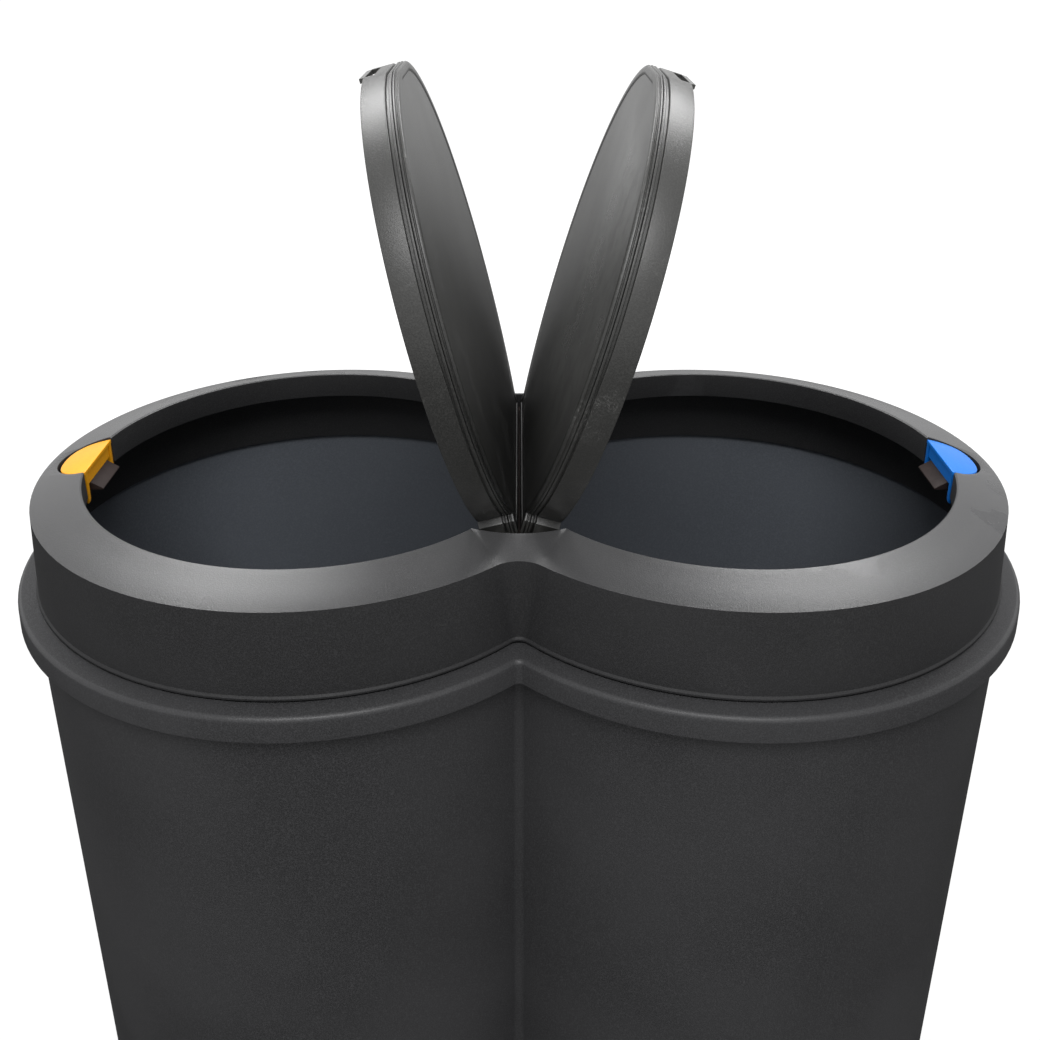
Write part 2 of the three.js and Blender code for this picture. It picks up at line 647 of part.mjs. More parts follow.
for (const { side, turn, openDegrees, buttonColor } of halves) {
  const openAngle = THREE.MathUtils.degToRad(openDegrees);
  const half = new THREE.Group();
  half.rotation.z = turn;
  bin.add(half);

  add(half, `hinge_rod_${side}`, hingeRod(), steel());
  add(half, `torsion_spring_${side}`, torsionSpring(openAngle), steel());

  const lid = new THREE.Group();
  lid.position.set(HINGE_X, 0, HINGE_Z);
  lid.rotation.y = -openAngle;
  half.add(lid);
  add(lid, `lid_shell_${side}`, lidShell(), charcoal());
  add(lid, `lid_cover_${side}`, lidCover(), charcoal());

  const latch = new THREE.Group();
  latch.position.x = LOBE_X;
  half.add(latch);
  add(latch, `latch_button_${side}`, latchButton(), plastic(buttonColor, 0.4));
  add(latch, `latch_bolt_${side}`, latchBolt(), darkPart());
  add(latch, `latch_housing_${side}`, latchHousing(), darkPart());
  add(latch, `latch_spring_${side}`, latchSpring(), steel());
}

export default bin;
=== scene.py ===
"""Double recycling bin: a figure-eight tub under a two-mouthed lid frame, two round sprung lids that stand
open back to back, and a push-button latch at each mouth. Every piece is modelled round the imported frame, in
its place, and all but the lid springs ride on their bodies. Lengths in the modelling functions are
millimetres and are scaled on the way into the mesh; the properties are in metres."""

import json
import math
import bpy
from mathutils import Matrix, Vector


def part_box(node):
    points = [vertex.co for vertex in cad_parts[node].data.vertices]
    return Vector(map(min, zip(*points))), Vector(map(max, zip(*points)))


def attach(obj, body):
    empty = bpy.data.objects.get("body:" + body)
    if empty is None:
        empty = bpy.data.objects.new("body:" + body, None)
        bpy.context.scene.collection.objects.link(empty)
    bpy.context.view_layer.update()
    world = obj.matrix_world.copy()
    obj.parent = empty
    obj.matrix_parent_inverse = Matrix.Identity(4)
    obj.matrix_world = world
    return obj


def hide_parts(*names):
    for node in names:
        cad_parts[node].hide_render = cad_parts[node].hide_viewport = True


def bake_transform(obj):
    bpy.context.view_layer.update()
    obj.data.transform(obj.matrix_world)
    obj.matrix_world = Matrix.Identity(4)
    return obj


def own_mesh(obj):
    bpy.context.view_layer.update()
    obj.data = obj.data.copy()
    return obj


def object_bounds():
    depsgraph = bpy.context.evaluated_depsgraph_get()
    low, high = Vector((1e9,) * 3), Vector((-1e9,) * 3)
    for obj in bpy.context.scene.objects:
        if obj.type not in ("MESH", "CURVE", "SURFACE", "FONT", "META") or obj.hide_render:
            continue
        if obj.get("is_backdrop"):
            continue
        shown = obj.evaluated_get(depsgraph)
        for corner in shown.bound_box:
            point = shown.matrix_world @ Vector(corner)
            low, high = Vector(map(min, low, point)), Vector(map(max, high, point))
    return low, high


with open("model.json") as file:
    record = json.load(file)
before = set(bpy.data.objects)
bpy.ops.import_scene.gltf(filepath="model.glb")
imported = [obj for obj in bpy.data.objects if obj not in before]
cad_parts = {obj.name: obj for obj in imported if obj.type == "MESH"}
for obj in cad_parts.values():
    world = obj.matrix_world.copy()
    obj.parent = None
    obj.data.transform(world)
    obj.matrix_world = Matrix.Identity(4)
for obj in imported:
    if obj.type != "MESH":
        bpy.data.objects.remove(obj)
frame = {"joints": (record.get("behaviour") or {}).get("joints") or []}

from types import SimpleNamespace

import bmesh
import bpy
from mathutils import Matrix, Vector

CAD_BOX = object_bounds()

bl_info = {
    "name": "Double recycling bin",
    "version": (1, 0, 0),
    "blender": (4, 5, 0),
    "location": "View3D > Sidebar > Bin",
    "description": "Models a two-lobed waste bin with sprung lids and push-button latches",
    "category": "Object",
}

MM = 0.001
SIDES = {"right": 1, "left": -1}
JOINTS = {joint["name"]: joint for joint in frame["joints"]}
HINGE = JOINTS["lid_hinge_right"]["pos_m"]
OPEN_ANGLES = {side: math.radians(JOINTS["lid_hinge_" + side]["range_deg"][1]) for side in SIDES}
BUTTON_TRAVEL = JOINTS["button_press_right"]["range_m"][1] / MM
BOLT_TRAVEL = JOINTS["bolt_slide_right"]["range_m"][1] / MM
FRAME_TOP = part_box("lid_frame")[1].z
HALF_TURN = Matrix.Rotation(math.pi, 4, "Z")
HALVES = {"right": Matrix.Identity(4), "left": HALF_TURN}

# Heights in the hinge and the latches, as millimetres below the lid frame's crest.
BELOW_CREST = {"bar_top": 12.8, "bar_foot": 24, "panel_top": 19.5, "boss_foot": 20, "bolt_axis": 6}
RIM_GAP = 0.3  # from the lid frame's foot down to the tub's shelf


# ---------------- what a user would change
def length(name, description, default):
    return bpy.props.FloatProperty(
        name=name, description=description, default=default, unit="LENGTH", precision=4
    )


def colour(name, description, default):
    return bpy.props.FloatVectorProperty(
        name=name, description=description, default=default, subtype="COLOR", min=0, max=1
    )


class BinSizes(bpy.types.PropertyGroup):
    top: length("Height", "Height of the mouths' edges above the floor", FRAME_TOP)
    lobe: length("Lobe offset", "Middle of the bin to the middle of each lobe", 0.1088)
    mouth: length("Mouth radius", "Radius of each round mouth", 0.1187)
    crest: length("Crest radius", "Lid frame's radius where the flange turns down", 0.144)
    crest_drop: length("Crest drop", "Fall of the flange from the mouth outwards", 0.0066)
    skirt: length("Skirt radius", "Lid frame's radius at its foot", 0.1469)
    skirt_drop: length("Skirt height", "Crest to the lid frame's foot", 0.0435)
    rim: length("Rim radius", "Radius of the tub's turned-down rim", 0.1564)
    tub_top: length("Tub radius, top", "Tub's radius under the rim", 0.1488)
    tub_foot: length("Tub radius, foot", "Tub's radius at the floor", 0.1446)
    wall: length("Wall", "Thickness of the tub's wall", 0.0026)
    lid: length("Lid radius", "Radius of each round lid", 0.1172)
    lid_tip: length("Lid tip", "Lobe's middle to the flat at the lid's tip", 0.1158)
    lid_proud: length("Lid rise", "A shut lid's face above the mouths' edges", 0.003)
    lid_thickness: length("Lid thickness", "Skirt's foot to the lid's top face", 0.0181)


class BinColours(bpy.types.PropertyGroup):
    charcoal: colour("Charcoal", "Grained outside of the tub and lid frame", (0.0235, 0.0235, 0.0247))
    # The inside's lighter, bluish tone is painted sheen on the smooth inner wall.
    inside: colour("Inside", "Smooth, painted-light inside of the tub", (0.094, 0.103, 0.118))
    lid: colour("Lid", "Satin plastic of the lids", (0.0215, 0.0215, 0.0205))
    latch: colour("Latch", "Hinge bridge, latch bolts and their housings", (0.010, 0.0068, 0.0062))
    left_button: colour("Left button", "Yellow push button", (0.76, 0.33, 0.007))
    right_button: colour("Right button", "Blue push button", (0.006, 0.155, 0.58))
    steel: colour("Steel", "Rods, springs and screws", (0.50, 0.51, 0.52))


def measures():
    """The sizes in millimetres, with the heights that follow from them."""
    given = bpy.context.scene.bin_sizes
    m = SimpleNamespace(**{name: getattr(given, name) / MM for name in BinSizes.__annotations__})
    m.crest_z = m.top - m.crest_drop
    m.skirt_z = m.crest_z - m.skirt_drop
    m.rim_z = m.skirt_z - RIM_GAP
    m.hinge_x, m.hinge_z = HINGE[0] / MM, HINGE[2] / MM
    m.face = m.top - m.hinge_z + m.lid_proud
    m.foot = m.face - m.lid_thickness
    m.lobe_s = m.lobe - m.hinge_x
    for name, drop in BELOW_CREST.items():
        setattr(m, name, m.crest_z - drop)
    return m


# ---------------- modelling
MERGE = 0.002 * MM  # points nearer than this are one
ROUND_SEGMENTS = 5


def only(*pieces):
    """Leaves edit mode and selects these pieces alone."""
    if bpy.context.object and bpy.context.object.mode != "OBJECT":
        bpy.ops.object.mode_set(mode="OBJECT")
    bpy.ops.object.select_all(action="DESELECT")
    for piece in pieces:
        piece.select_set(True)
        bpy.context.view_layer.objects.active = piece


def edit(piece):
    """Enters edit mode on one piece, with all its edges selected."""
    only(piece)
    bpy.ops.object.mode_set(mode="EDIT")
    bpy.ops.mesh.select_mode(type="EDGE")
    bpy.ops.mesh.select_all(action="SELECT")


def select_edges(piece, test):
    """Selects the edges that pass the test, in edit mode, and says how many there are."""
    bpy.ops.mesh.select_all(action="DESELECT")
    mesh = bmesh.from_edit_mesh(piece.data)
    chosen = [edge for edge in mesh.edges if test(edge)]
    for edge in chosen:
        edge.select_set(True)
    bmesh.update_edit_mesh(piece.data)
    return len(chosen)


def bevel(width, segments):
    """Rounds the selected edges, in edit mode."""
    bpy.ops.mesh.bevel(
        offset=width * MM, segments=segments, profile=0.5, affect="EDGES", clamp_overlap=True
    )


def face_outwards(piece):
    """Merges the points that lie together and turns the faces outwards."""
    edit(piece)
    bpy.ops.mesh.remove_doubles(threshold=MERGE)
    bpy.ops.mesh.normals_make_consistent(inside=False)
    only(piece)
    return piece


def placed(piece, matrix):
    """Puts a move or turn into the mesh, so that the object stays at the origin."""
    piece.data.transform(matrix)
    piece.data.update()
    return piece


def shaped_circle(name, outline, fill="NOTHING"):
    """A circle whose points are moved to an outline, in millimetres."""
    only()
    bpy.ops.mesh.primitive_circle_add(vertices=len(outline), radius=0.1, fill_type=fill)
    piece = bpy.context.object
    piece.name = piece.data.name = name
    for vertex, point in zip(piece.data.vertices, outline):
        vertex.co = Vector(point) * MM
    return piece


def loft(name, rings, closed=False):
    """A circle shaped to the first outline and extruded from outline to outline. A closed loft comes back to
    its first outline, and an open one is filled at both ends. Each ring is (outline, rounding), in
    millimetres, and its loop of edges is bevelled by the rounding."""
    first_outline = rings[0][0]
    piece = shaped_circle(name, first_outline)
    piece.data.attributes.new("ring", "INT", "POINT")
    stations = piece.data.attributes.new("station", "INT", "POINT")
    stations.data.foreach_set("value", range(len(first_outline)))
    edit(piece)
    order = list(range(1, len(rings))) + ([0] if closed else [])
    for number in order:
        bpy.ops.mesh.extrude_edges_move()
        mesh = bmesh.from_edit_mesh(piece.data)
        station, ring = mesh.verts.layers.int["station"], mesh.verts.layers.int["ring"]
        for vertex in mesh.verts:
            if vertex.select:
                vertex.co = Vector(rings[number][0][vertex[station]]) * MM
                vertex[ring] = number
        bmesh.update_edit_mesh(piece.data)
    if closed:
        bpy.ops.mesh.select_all(action="SELECT")
        bpy.ops.mesh.remove_doubles(threshold=MERGE)
    else:
        bpy.ops.mesh.edge_face_add()
        select_edges(piece, in_rings(piece, {0}))
        bpy.ops.mesh.edge_face_add()
    for rounding in sorted({given for _, given in rings if given}):
        chosen = {number for number, (_, given) in enumerate(rings) if given == rounding}
        select_edges(piece, in_rings(piece, chosen))
        bevel(rounding, ROUND_SEGMENTS)
    face_outwards(piece)
    for attribute in ("station", "ring"):
        piece.data.attributes.remove(piece.data.attributes[attribute])
    return piece


def in_rings(piece, numbers):
    """A test for edges that lie along one of these rings of a loft."""

    def test(edge):
        layer = bmesh.from_edit_mesh(piece.data).verts.layers.int["ring"]
        first, last = edge.verts
        return first[layer] == last[layer] and first[layer] in numbers

    return test


def round_edges(piece, width, sharper=30, segments=3, where=None):
    """Bevels the edges that turn by more than an angle in degrees, everywhere or where a test says."""
    edit(piece)

    def test(edge):
        if len(edge.link_faces) != 2 or edge.calc_face_angle(0) < math.radians(sharper):
            return False
        return where is None or all(where(vertex.co / MM) for vertex in edge.verts)

    if select_edges(piece, test):
        bevel(width, segments)
    only(piece)
    return piece


ALONG_X = Matrix(((0, 0, 1, 0), (1, 0, 0, 0), (0, 1, 0, 0), (0, 0, 0, 1)))
ALONG_Y = Matrix(((1, 0, 0, 0), (0, 0, -1, 0), (0, 1, 0, 0), (0, 0, 0, 1)))
ALONG_Z = Matrix.Identity(4)


def bar(name, outline, low, high, way=ALONG_Z):
    """A filled outline extruded from low to high along an axis. Along X the outline is in Y and Z, and along
    Y it is in X and Z."""
    start = -high if way is ALONG_Y else low
    piece = shaped_circle(name, [(a, b, start) for a, b in outline], "NGON")
    edit(piece)
    bpy.ops.mesh.extrude_region_move(TRANSFORM_OT_translate={"value": (0, 0, (high - low) * MM)})
    only(piece)
    return face_outwards(placed(piece, way))


def block(name, low, high):
    """A box between two corners."""
    only()
    middle = [(a + b) / 2 * MM for a, b in zip(low, high)]
    size = [(b - a) * MM for a, b in zip(low, high)]
    bpy.ops.mesh.primitive_cube_add(size=1, location=middle, scale=size)
    bpy.ops.object.transform_apply(location=True, rotation=True, scale=True)
    bpy.context.object.name = name
    return bpy.context.object


def rod(name, start, end, radius, sides=48):
    only()
    start, end = Vector(start) * MM, Vector(end) * MM
    bpy.ops.mesh.primitive_cylinder_add(
        vertices=sides, radius=radius * MM, depth=(end - start).length, location=(start + end) / 2
    )
    piece = bpy.context.object
    piece.rotation_euler = (end - start).to_track_quat("Z", "Y").to_euler()
    bpy.ops.object.transform_apply(location=True, rotation=True, scale=True)
    piece.name = name
    return piece


def combine(piece, others, operation):
    """Joins the others to a piece, or cuts them out of it, with Boolean modifiers that are applied."""
    for other in others:
        only(piece)
        modifier = piece.modifiers.new("shape", "BOOLEAN")
        modifier.operation = operation
        modifier.solver = "EXACT"
        modifier.object = other
        bpy.ops.object.modifier_apply(modifier=modifier.name)
        only(other)
        bpy.ops.object.delete()
    return face_outwards(piece)


def add_object(name, data):
    made = bpy.data.objects.new(name, data)
    bpy.context.scene.collection.objects.link(made)
    return made


def wire(name, points, thickness):
    """A round wire bent through the points."""
    line = bpy.data.curves.new(name, "CURVE")
    line.dimensions = "3D"
    line.bevel_depth = thickness / 2 * MM
    line.bevel_resolution = 3
    line.use_fill_caps = True
    spline = line.splines.new("POLY")
    spline.points.add(len(points) - 1)
    for knot, point in zip(spline.points, points):
        knot.co = (*(Vector(point) * MM), 1)
    only(add_object(name, line))
    bpy.ops.object.convert(target="MESH")
    return face_outwards(bpy.context.object)


def turned_copy(piece, name, matrix=HALF_TURN):
    """The same part on the other side, with its own mesh."""
    only(piece)
    bpy.ops.object.duplicate()
    other = bpy.context.object
    other.name = other.data.name = name
    return placed(other, matrix)


def finish(piece, body, nodes, slot, *materials, smooth=32):
    """Shades and dresses a piece, sets what it rides on and is made of, and hides the parts that it stands in
    for.
    A piece without a body is left loose."""
    only(piece)
    bpy.ops.object.shade_smooth_by_angle(angle=math.radians(smooth))
    for material in materials:
        piece.data.materials.append(material)
    if body:
        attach(piece, body)
    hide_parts(*nodes)


# ---------------- outlines, in millimetres
LOBE_STEPS = 96
WAIST_STEPS = 24


def ring_of(m, radius, lobe_end, waist, z):
    """The right lobe's arc, the back of the waist, the left lobe's arc and the front of the waist."""
    ring = []
    for side in (1, -1):
        for i in range(LOBE_STEPS + 1):
            angle = lobe_end * (2 * i / LOBE_STEPS - 1)
            ring.append((side * (m.lobe + radius * math.cos(angle)), side * radius * math.sin(angle), z))
        ring += [(side * x, side * y, z) for x, y in waist]
    return ring


def waisted(m, radius, hollow, z):
    """Two circles joined at the waist by a hollow of its own radius."""
    hollow_y = math.sqrt((radius + hollow) ** 2 - m.lobe**2)
    reach = math.atan2(m.lobe, hollow_y)
    waist = []
    for i in range(1, WAIST_STEPS):
        angle = reach * (1 - 2 * i / WAIST_STEPS)
        waist.append((hollow * math.sin(angle), hollow_y - hollow * math.cos(angle)))
    return ring_of(m, radius, math.atan2(hollow_y, -m.lobe), waist, z)


def mouthed(m, radius, z):
    """Two circles joined by the slot in which the lids' hinge sides stand."""
    slot_half, slot_y, slot_bow = 22, 81, 5
    grow = radius - m.mouth
    half = slot_half + 0.8 * grow
    waist = []
    for i in range(1, WAIST_STEPS):
        across = 1 - 2 * (i - 1) / (WAIST_STEPS - 2)
        waist.append((half * across, slot_y + grow + slot_bow * (1 - across**2)))
    return ring_of(m, radius, math.acos((half - m.lobe) / radius), waist, z)


def between(first, second, share):
    """The outline that lies this share of the way from one outline to another."""
    return [Vector(start).lerp(Vector(end), share) for start, end in zip(first, second)]


def waist_y(m, radius, hollow):
    """How far from the middle such a waist is, front and back."""
    return math.sqrt((radius + hollow) ** 2 - m.lobe**2) - hollow


NECK_HALF = 79
NECK_BACK = 6
ROUND_FROM = 12.5
LID_STEPS = 60


def both_halves(half):
    """A lid's outline from one half of it. Its first point is on the hinge side."""
    return half + [(s, -y) for s, y in reversed(half[1:])]


def lid_outline(m, inset, height, lift=None, heel=-NECK_BACK):
    """The shut lid's outline, as distance along it from the rod and distance across. The hinge side is
    straight, then a short neck leads to the round part, which is flat at its tip. lift raises a point by an
    amount that depends on how far along the lid it is. heel is the least distance along, where the hinge
    side's corner is taken off."""
    radius, neck = m.lid - inset, inset - NECK_HALF
    start = math.acos((ROUND_FROM - m.lobe_s) / radius)
    tip = math.acos((m.lid_tip - inset) / radius)
    back, shoulder = max(inset - NECK_BACK, heel), 7.6 - 0.4 * inset
    half = [(back, neck * k / 4) for k in range(5)]
    half += [((back + shoulder) / 2, neck), (shoulder, neck), (10.3, neck + 2.4)]
    for i in range(LID_STEPS + 1):
        angle = -start + (start - tip) * i / LID_STEPS
        half.append((m.lobe_s + radius * math.cos(angle), radius * math.sin(angle)))
    return [(s, y, height + (lift(s) if lift else 0)) for s, y in both_halves(half)]


def lid_window(m, height):
    """The round window in the shell's ceiling, with as many points as the lid's outline."""
    window_r, edge = 104, 16
    start = math.acos((edge - m.lobe_s) / window_r)
    reach = window_r * math.sin(start)
    half = [(edge, -reach * k / 8) for k in range(8)]
    for i in range(LID_STEPS + 1):
        angle = -start + start * i / (LID_STEPS + 0.5)
        half.append((m.lobe_s + window_r * math.cos(angle), window_r * math.sin(angle)))
    return [(s, y, height) for s, y in both_halves(half)]


def smooth_step(value, low, high):
    share = min(1, max(0, (value - low) / (high - low)))
    return share * share * (3 - 2 * share)


# ---------------- materials
# Paler tone painted on upward faces as light from above, with a light real dusting.
DUST_AND_TOP_LIGHT = (0.32, 0.32, 0.325)
SCUFF = (0.17, 0.17, 0.165)
SHADE_BLACK = (0.0, 0.0, 0.0)
GROUPS = {}
MATERIALS = {}


def feed(tree, target, values):
    """Sets a node's inputs, each to a plain value or to the socket that feeds it."""
    for key, given in values.items():
        if isinstance(given, bpy.types.NodeSocket):
            tree.links.new(given, target.inputs[key])
        else:
            target.inputs[key].default_value = given


def node(tree, kind, values=None, **settings):
    made = tree.nodes.new("ShaderNode" + kind)
    for key, value in settings.items():
        setattr(made, key, value)
    feed(tree, made, values or {})
    return made


def group(name, inputs, outputs):
    """An empty node group with its named sockets."""
    tree = bpy.data.node_groups.new(name, "ShaderNodeTree")
    for label, value in inputs.items():
        socket = tree.interface.new_socket(label, in_out="INPUT", socket_type="NodeSocketFloat")
        socket.default_value = value
    for label in outputs:
        tree.interface.new_socket(label, in_out="OUTPUT", socket_type="NodeSocketFloat")
    return tree, tree.nodes.new("NodeGroupInput").outputs, tree.nodes.new("NodeGroupOutput")


def use(tree, name, values):
    """A shared effect placed in a material, with its own values."""
    made = tree.nodes.new("ShaderNodeGroup")
    made.node_tree = GROUPS[name]
    feed(tree, made, values)
    return made.outputs


def ramp(tree, source, low, high, to_low=0.0, to_high=1.0):
    """Maps a value's range onto another, smoothly and within its ends."""
    values = {"Value": source, "From Min": low, "From Max": high, "To Min": to_low, "To Max": to_high}
    return node(tree, "MapRange", values, interpolation_type="SMOOTHSTEP").outputs["Result"]


def maths(tree, operation, first, second):
    return node(tree, "Math", {0: first, 1: second}, operation=operation).outputs[0]


def noise(tree, place, scale, detail=3.0, roughness=0.55, distortion=0.0):
    values = {"Vector": place, "Scale": scale, "Detail": detail, "Roughness": roughness}
    return node(tree, "TexNoise", {**values, "Distortion": distortion}).outputs["Fac"]


def object_place(tree):
    return node(tree, "TexCoord").outputs["Object"]


def grain_group():
    """Spark-eroded mould grain: small rounded pits of two sizes, and the specks of tone that they leave."""
    tree, given, out = group("Mould grain", {"Pits per metre": 1500.0}, ["Height", "Speck"])
    place, scale = object_place(tree), given["Pits per metre"]
    values = {"Vector": place, "Scale": scale, "Smoothness": 0.6}
    pits = node(tree, "TexVoronoi", values, feature="SMOOTH_F1", voronoi_dimensions="3D")
    fine = noise(tree, place, maths(tree, "MULTIPLY", scale, 2.1), 2.0, 0.6)
    height = maths(tree, "ADD", maths(tree, "MULTIPLY", pits.outputs["Distance"], 0.7), fine)
    feed(tree, out, {"Height": height, "Speck": ramp(tree, height, 0.55, 1.2)})
    return tree


def marks_group():
    """Rubs and fine hair-like scratches left by hands and cloths, in patches."""
    tree, given, out = group("Handling marks", {"Patch size": 22.0}, ["Mark", "Cloud"])
    place = object_place(tree)
    where = ramp(tree, noise(tree, place, given["Patch size"], 4.0, 0.6, 0.6), 0.52, 0.68)
    hair = maths(tree, "SUBTRACT", noise(tree, place, 140.0, 6.0, 0.62, 2.6), 0.5)
    thin = ramp(tree, maths(tree, "ABSOLUTE", hair, 0), 0.0, 0.018, 1.0, 0.0)
    flecks = ramp(tree, noise(tree, place, 420.0, 3.0, 0.6, 1.5), 0.6, 0.72)
    both = maths(tree, "MAXIMUM", maths(tree, "MULTIPLY", thin, 0.7), flecks)
    cloud = noise(tree, place, 9.0, 3.0, 0.5)
    feed(tree, out, {"Mark": maths(tree, "MULTIPLY", both, where), "Cloud": cloud})
    return tree


def rub_group():
    """Paler, shinier plastic where edges have been rubbed."""
    tree, given, out = group("Rubbed edges", {"Pointiness": 0.5}, ["Rub"])
    edge = ramp(tree, given["Pointiness"], 0.505, 0.565)
    patchy = ramp(tree, noise(tree, object_place(tree), 60.0, 4.0, 0.65), 0.3, 0.6, 0.35, 1.0)
    feed(tree, out, {"Rub": maths(tree, "MULTIPLY", edge, patchy)})
    return tree


def mixed(tree, factor, first, second):
    """A colour mixed from two, each a plain colour or a socket."""
    first, second = ((*given, 1.0) if isinstance(given, tuple) else given for given in (first, second))
    return node(tree, "Mix", {"Factor": factor, 6: first, 7: second}, data_type="RGBA").outputs[2]


def scaled(tone, factor):
    return tuple(min(1.0, part * factor) for part in tone)


def new_material(name):
    material = bpy.data.materials.new(name)
    material.use_nodes = True
    tree = material.node_tree
    return material, tree, tree.nodes["Principled BSDF"]


def from_the_rod(tree):
    """How far a point of an open lid lies along the lid from its rod, and above the rod."""
    angle = (OPEN_ANGLES["right"] + OPEN_ANGLES["left"]) / 2
    along = Vector((math.cos(angle), 0, math.sin(angle)))
    up = Vector((-along.z, 0, along.x))
    either_side = node(tree, "VectorMath", {0: object_place(tree)}, operation="ABSOLUTE").outputs[0]
    found = []
    for way in (along, up):
        dot = node(tree, "VectorMath", {0: either_side, 1: way}, operation="DOT_PRODUCT")
        found.append(maths(tree, "SUBTRACT", dot.outputs["Value"], way.dot(Vector(HINGE))))
    return found


def facing_up(tree, normal, band):
    """1 where a face looks upwards, or where its upward share lies within the band."""
    share = node(tree, "SeparateXYZ", {"Vector": normal}).outputs["Z"]
    if not band:
        return ramp(tree, share, 0.72, 0.96)
    low, high = band
    rising, falling = ramp(tree, share, low, low + 0.2), ramp(tree, share, high - 0.1, high, 1.0, 0.0)
    return maths(tree, "MULTIPLY", rising, falling)


def plastic(
    name, tone, rough, pits, depth, specular=0.5, marks=0.1, contrast=1.0, patch=22.0, crown=(), shade_near_rod=False
):
    """Moulded plastic: its grain as bump and specks, cloudy gloss, handling marks and rubbed edges. contrast
    says how far these change the tone. crown is (paler tone, roughness) for faces that look upwards, or with
    two more numbers for those whose upward share lies between them; its paler tone is mostly painted light
    from above, with a light real dusting. The last flag paints shade on a lid towards its rod, low on its
    face and on its ends by the rod, where the open lids shade each other."""
    material, tree, shader = new_material(name)
    geometry = node(tree, "NewGeometry").outputs
    grain = use(tree, "grain", {"Pits per metre": pits})
    handled = use(tree, "marks", {"Patch size": patch})
    worn = use(tree, "rub", {"Pointiness": geometry["Pointiness"]})["Rub"]

    cloud = ramp(tree, handled["Cloud"], 0.32, 0.68)
    shade = mixed(tree, cloud, scaled(tone, 1 - 0.18 * contrast), scaled(tone, 1 + 0.22 * contrast))
    shade = mixed(tree, grain["Speck"], shade, scaled(tone, 1 + 0.9 * contrast))
    gloss = ramp(tree, handled["Cloud"], 0.3, 0.7, rough - 0.04, rough + 0.04)
    # Painted light: upward faces, or those in the band, are paler as if lit from above, with a light real
    # dusting.
    if crown:
        dust_and_top_light, polished, *band = crown
        upward = facing_up(tree, geometry["Normal"], band)
        shade = mixed(tree, maths(tree, "MULTIPLY", upward, dust_and_top_light), shade, DUST_AND_TOP_LIGHT)
        gloss = maths(tree, "SUBTRACT", gloss, maths(tree, "MULTIPLY", upward, rough - polished))
    # Painted shade: darker low on the face and at the ends by the rod, where the open lids shade each other.
    if shade_near_rod:
        along, up = from_the_rod(tree)
        low_down = ramp(tree, along, 0.0, 0.13, 0.9, 0.0)
        on_face = maths(tree, "MULTIPLY", ramp(tree, up, 0.008, 0.010), low_down)
        at_rod = ramp(tree, along, 0.004, 0.016, 0.75, 0.0)
        shade = mixed(tree, maths(tree, "MAXIMUM", on_face, at_rod), shade, SHADE_BLACK)
    mark = maths(tree, "MULTIPLY", handled["Mark"], marks)
    shade = mixed(tree, mark, shade, SCUFF)
    rub = maths(tree, "MULTIPLY", worn, 0.8)
    shade = mixed(tree, rub, shade, scaled(tone, 1 + 1.8 * contrast))
    gloss = maths(tree, "ADD", gloss, maths(tree, "MULTIPLY", mark, 0.15))
    gloss = maths(tree, "SUBTRACT", gloss, maths(tree, "MULTIPLY", rub, 0.12))
    bump = node(tree, "Bump", {"Height": grain["Height"], "Strength": 0.5, "Distance": depth * MM})
    looks = {"Base Color": shade, "Roughness": gloss, "Normal": bump.outputs["Normal"]}
    feed(tree, shader, {**looks, "Specular IOR Level": specular})
    return material


def steel(name, tone):
    """Zinc-plated steel: bright, with drawn streaks and cloudy plating."""
    material, tree, shader = new_material(name)
    place = object_place(tree)
    cloud = ramp(tree, noise(tree, place, 260.0, 4.0, 0.6), 0.35, 0.65)
    streak = noise(tree, place, 1800.0, 2.0, 0.5)
    gloss = ramp(tree, streak, 0.3, 0.7, 0.24, 0.42)
    bump = node(tree, "Bump", {"Height": streak, "Strength": 0.25, "Distance": 0.05 * MM})
    shade = mixed(tree, cloud, scaled(tone, 0.75), scaled(tone, 1.15))
    looks = {"Base Color": shade, "Roughness": gloss, "Normal": bump.outputs["Normal"]}
    feed(tree, shader, {**looks, "Metallic": 1.0})
    return material


def build_materials():
    """The shared effects, then the finishes that are made from them."""
    GROUPS.update(grain=grain_group(), marks=marks_group(), rub=rub_group())
    tones = bpy.context.scene.bin_colours
    outside = {"rough": 0.68, "pits": 1500.0, "depth": 0.10, "specular": 0.24, "marks": 0.06}
    frame_top = {"rough": 0.62, "pits": 1500.0, "depth": 0.08, "specular": 0.30, "marks": 0.12}
    inside = {"rough": 0.42, "pits": 900.0, "depth": 0.03, "marks": 0.05, "contrast": 0.3}
    lid = {"rough": 0.36, "pits": 1300.0, "depth": 0.08, "marks": 0.8, "patch": 30.0}
    latch = {"rough": 0.60, "pits": 700.0, "depth": 0.02, "specular": 0.12, "marks": 0.2}
    button = {"rough": 0.40, "pits": 600.0, "depth": 0.02, "specular": 0.28, "marks": 0.03, "contrast": 0.15}
    dark = scaled(tones.charcoal, 0.62)
    MATERIALS.update(
        # The crowns paint light from above on the frame's top and the tub's rim edge, with a light real
        # dusting.
        outside=plastic("Charcoal outside", tones.charcoal, crown=(0.04, 0.36, 0.30, 0.97), **outside),
        frame=plastic("Charcoal lid frame", dark, crown=(0.13, 0.31), **frame_top),
        # Painted sheen: the inside is lighter in tone; its lower roughness is its real smoother finish.
        inside=plastic("Smooth, painted-light inside", tones.inside, **inside),
        # The lids carry painted shade towards their rod.
        lid=plastic("Satin lid", tones.lid, shade_near_rod=True, **lid),
        latch=plastic("Latch plastic", tones.latch, **latch),
        yellow=plastic("Yellow button", tones.left_button, **button),
        blue=plastic("Blue button", tones.right_button, **button),
        steel=steel("Zinc steel", tones.steel),
    )


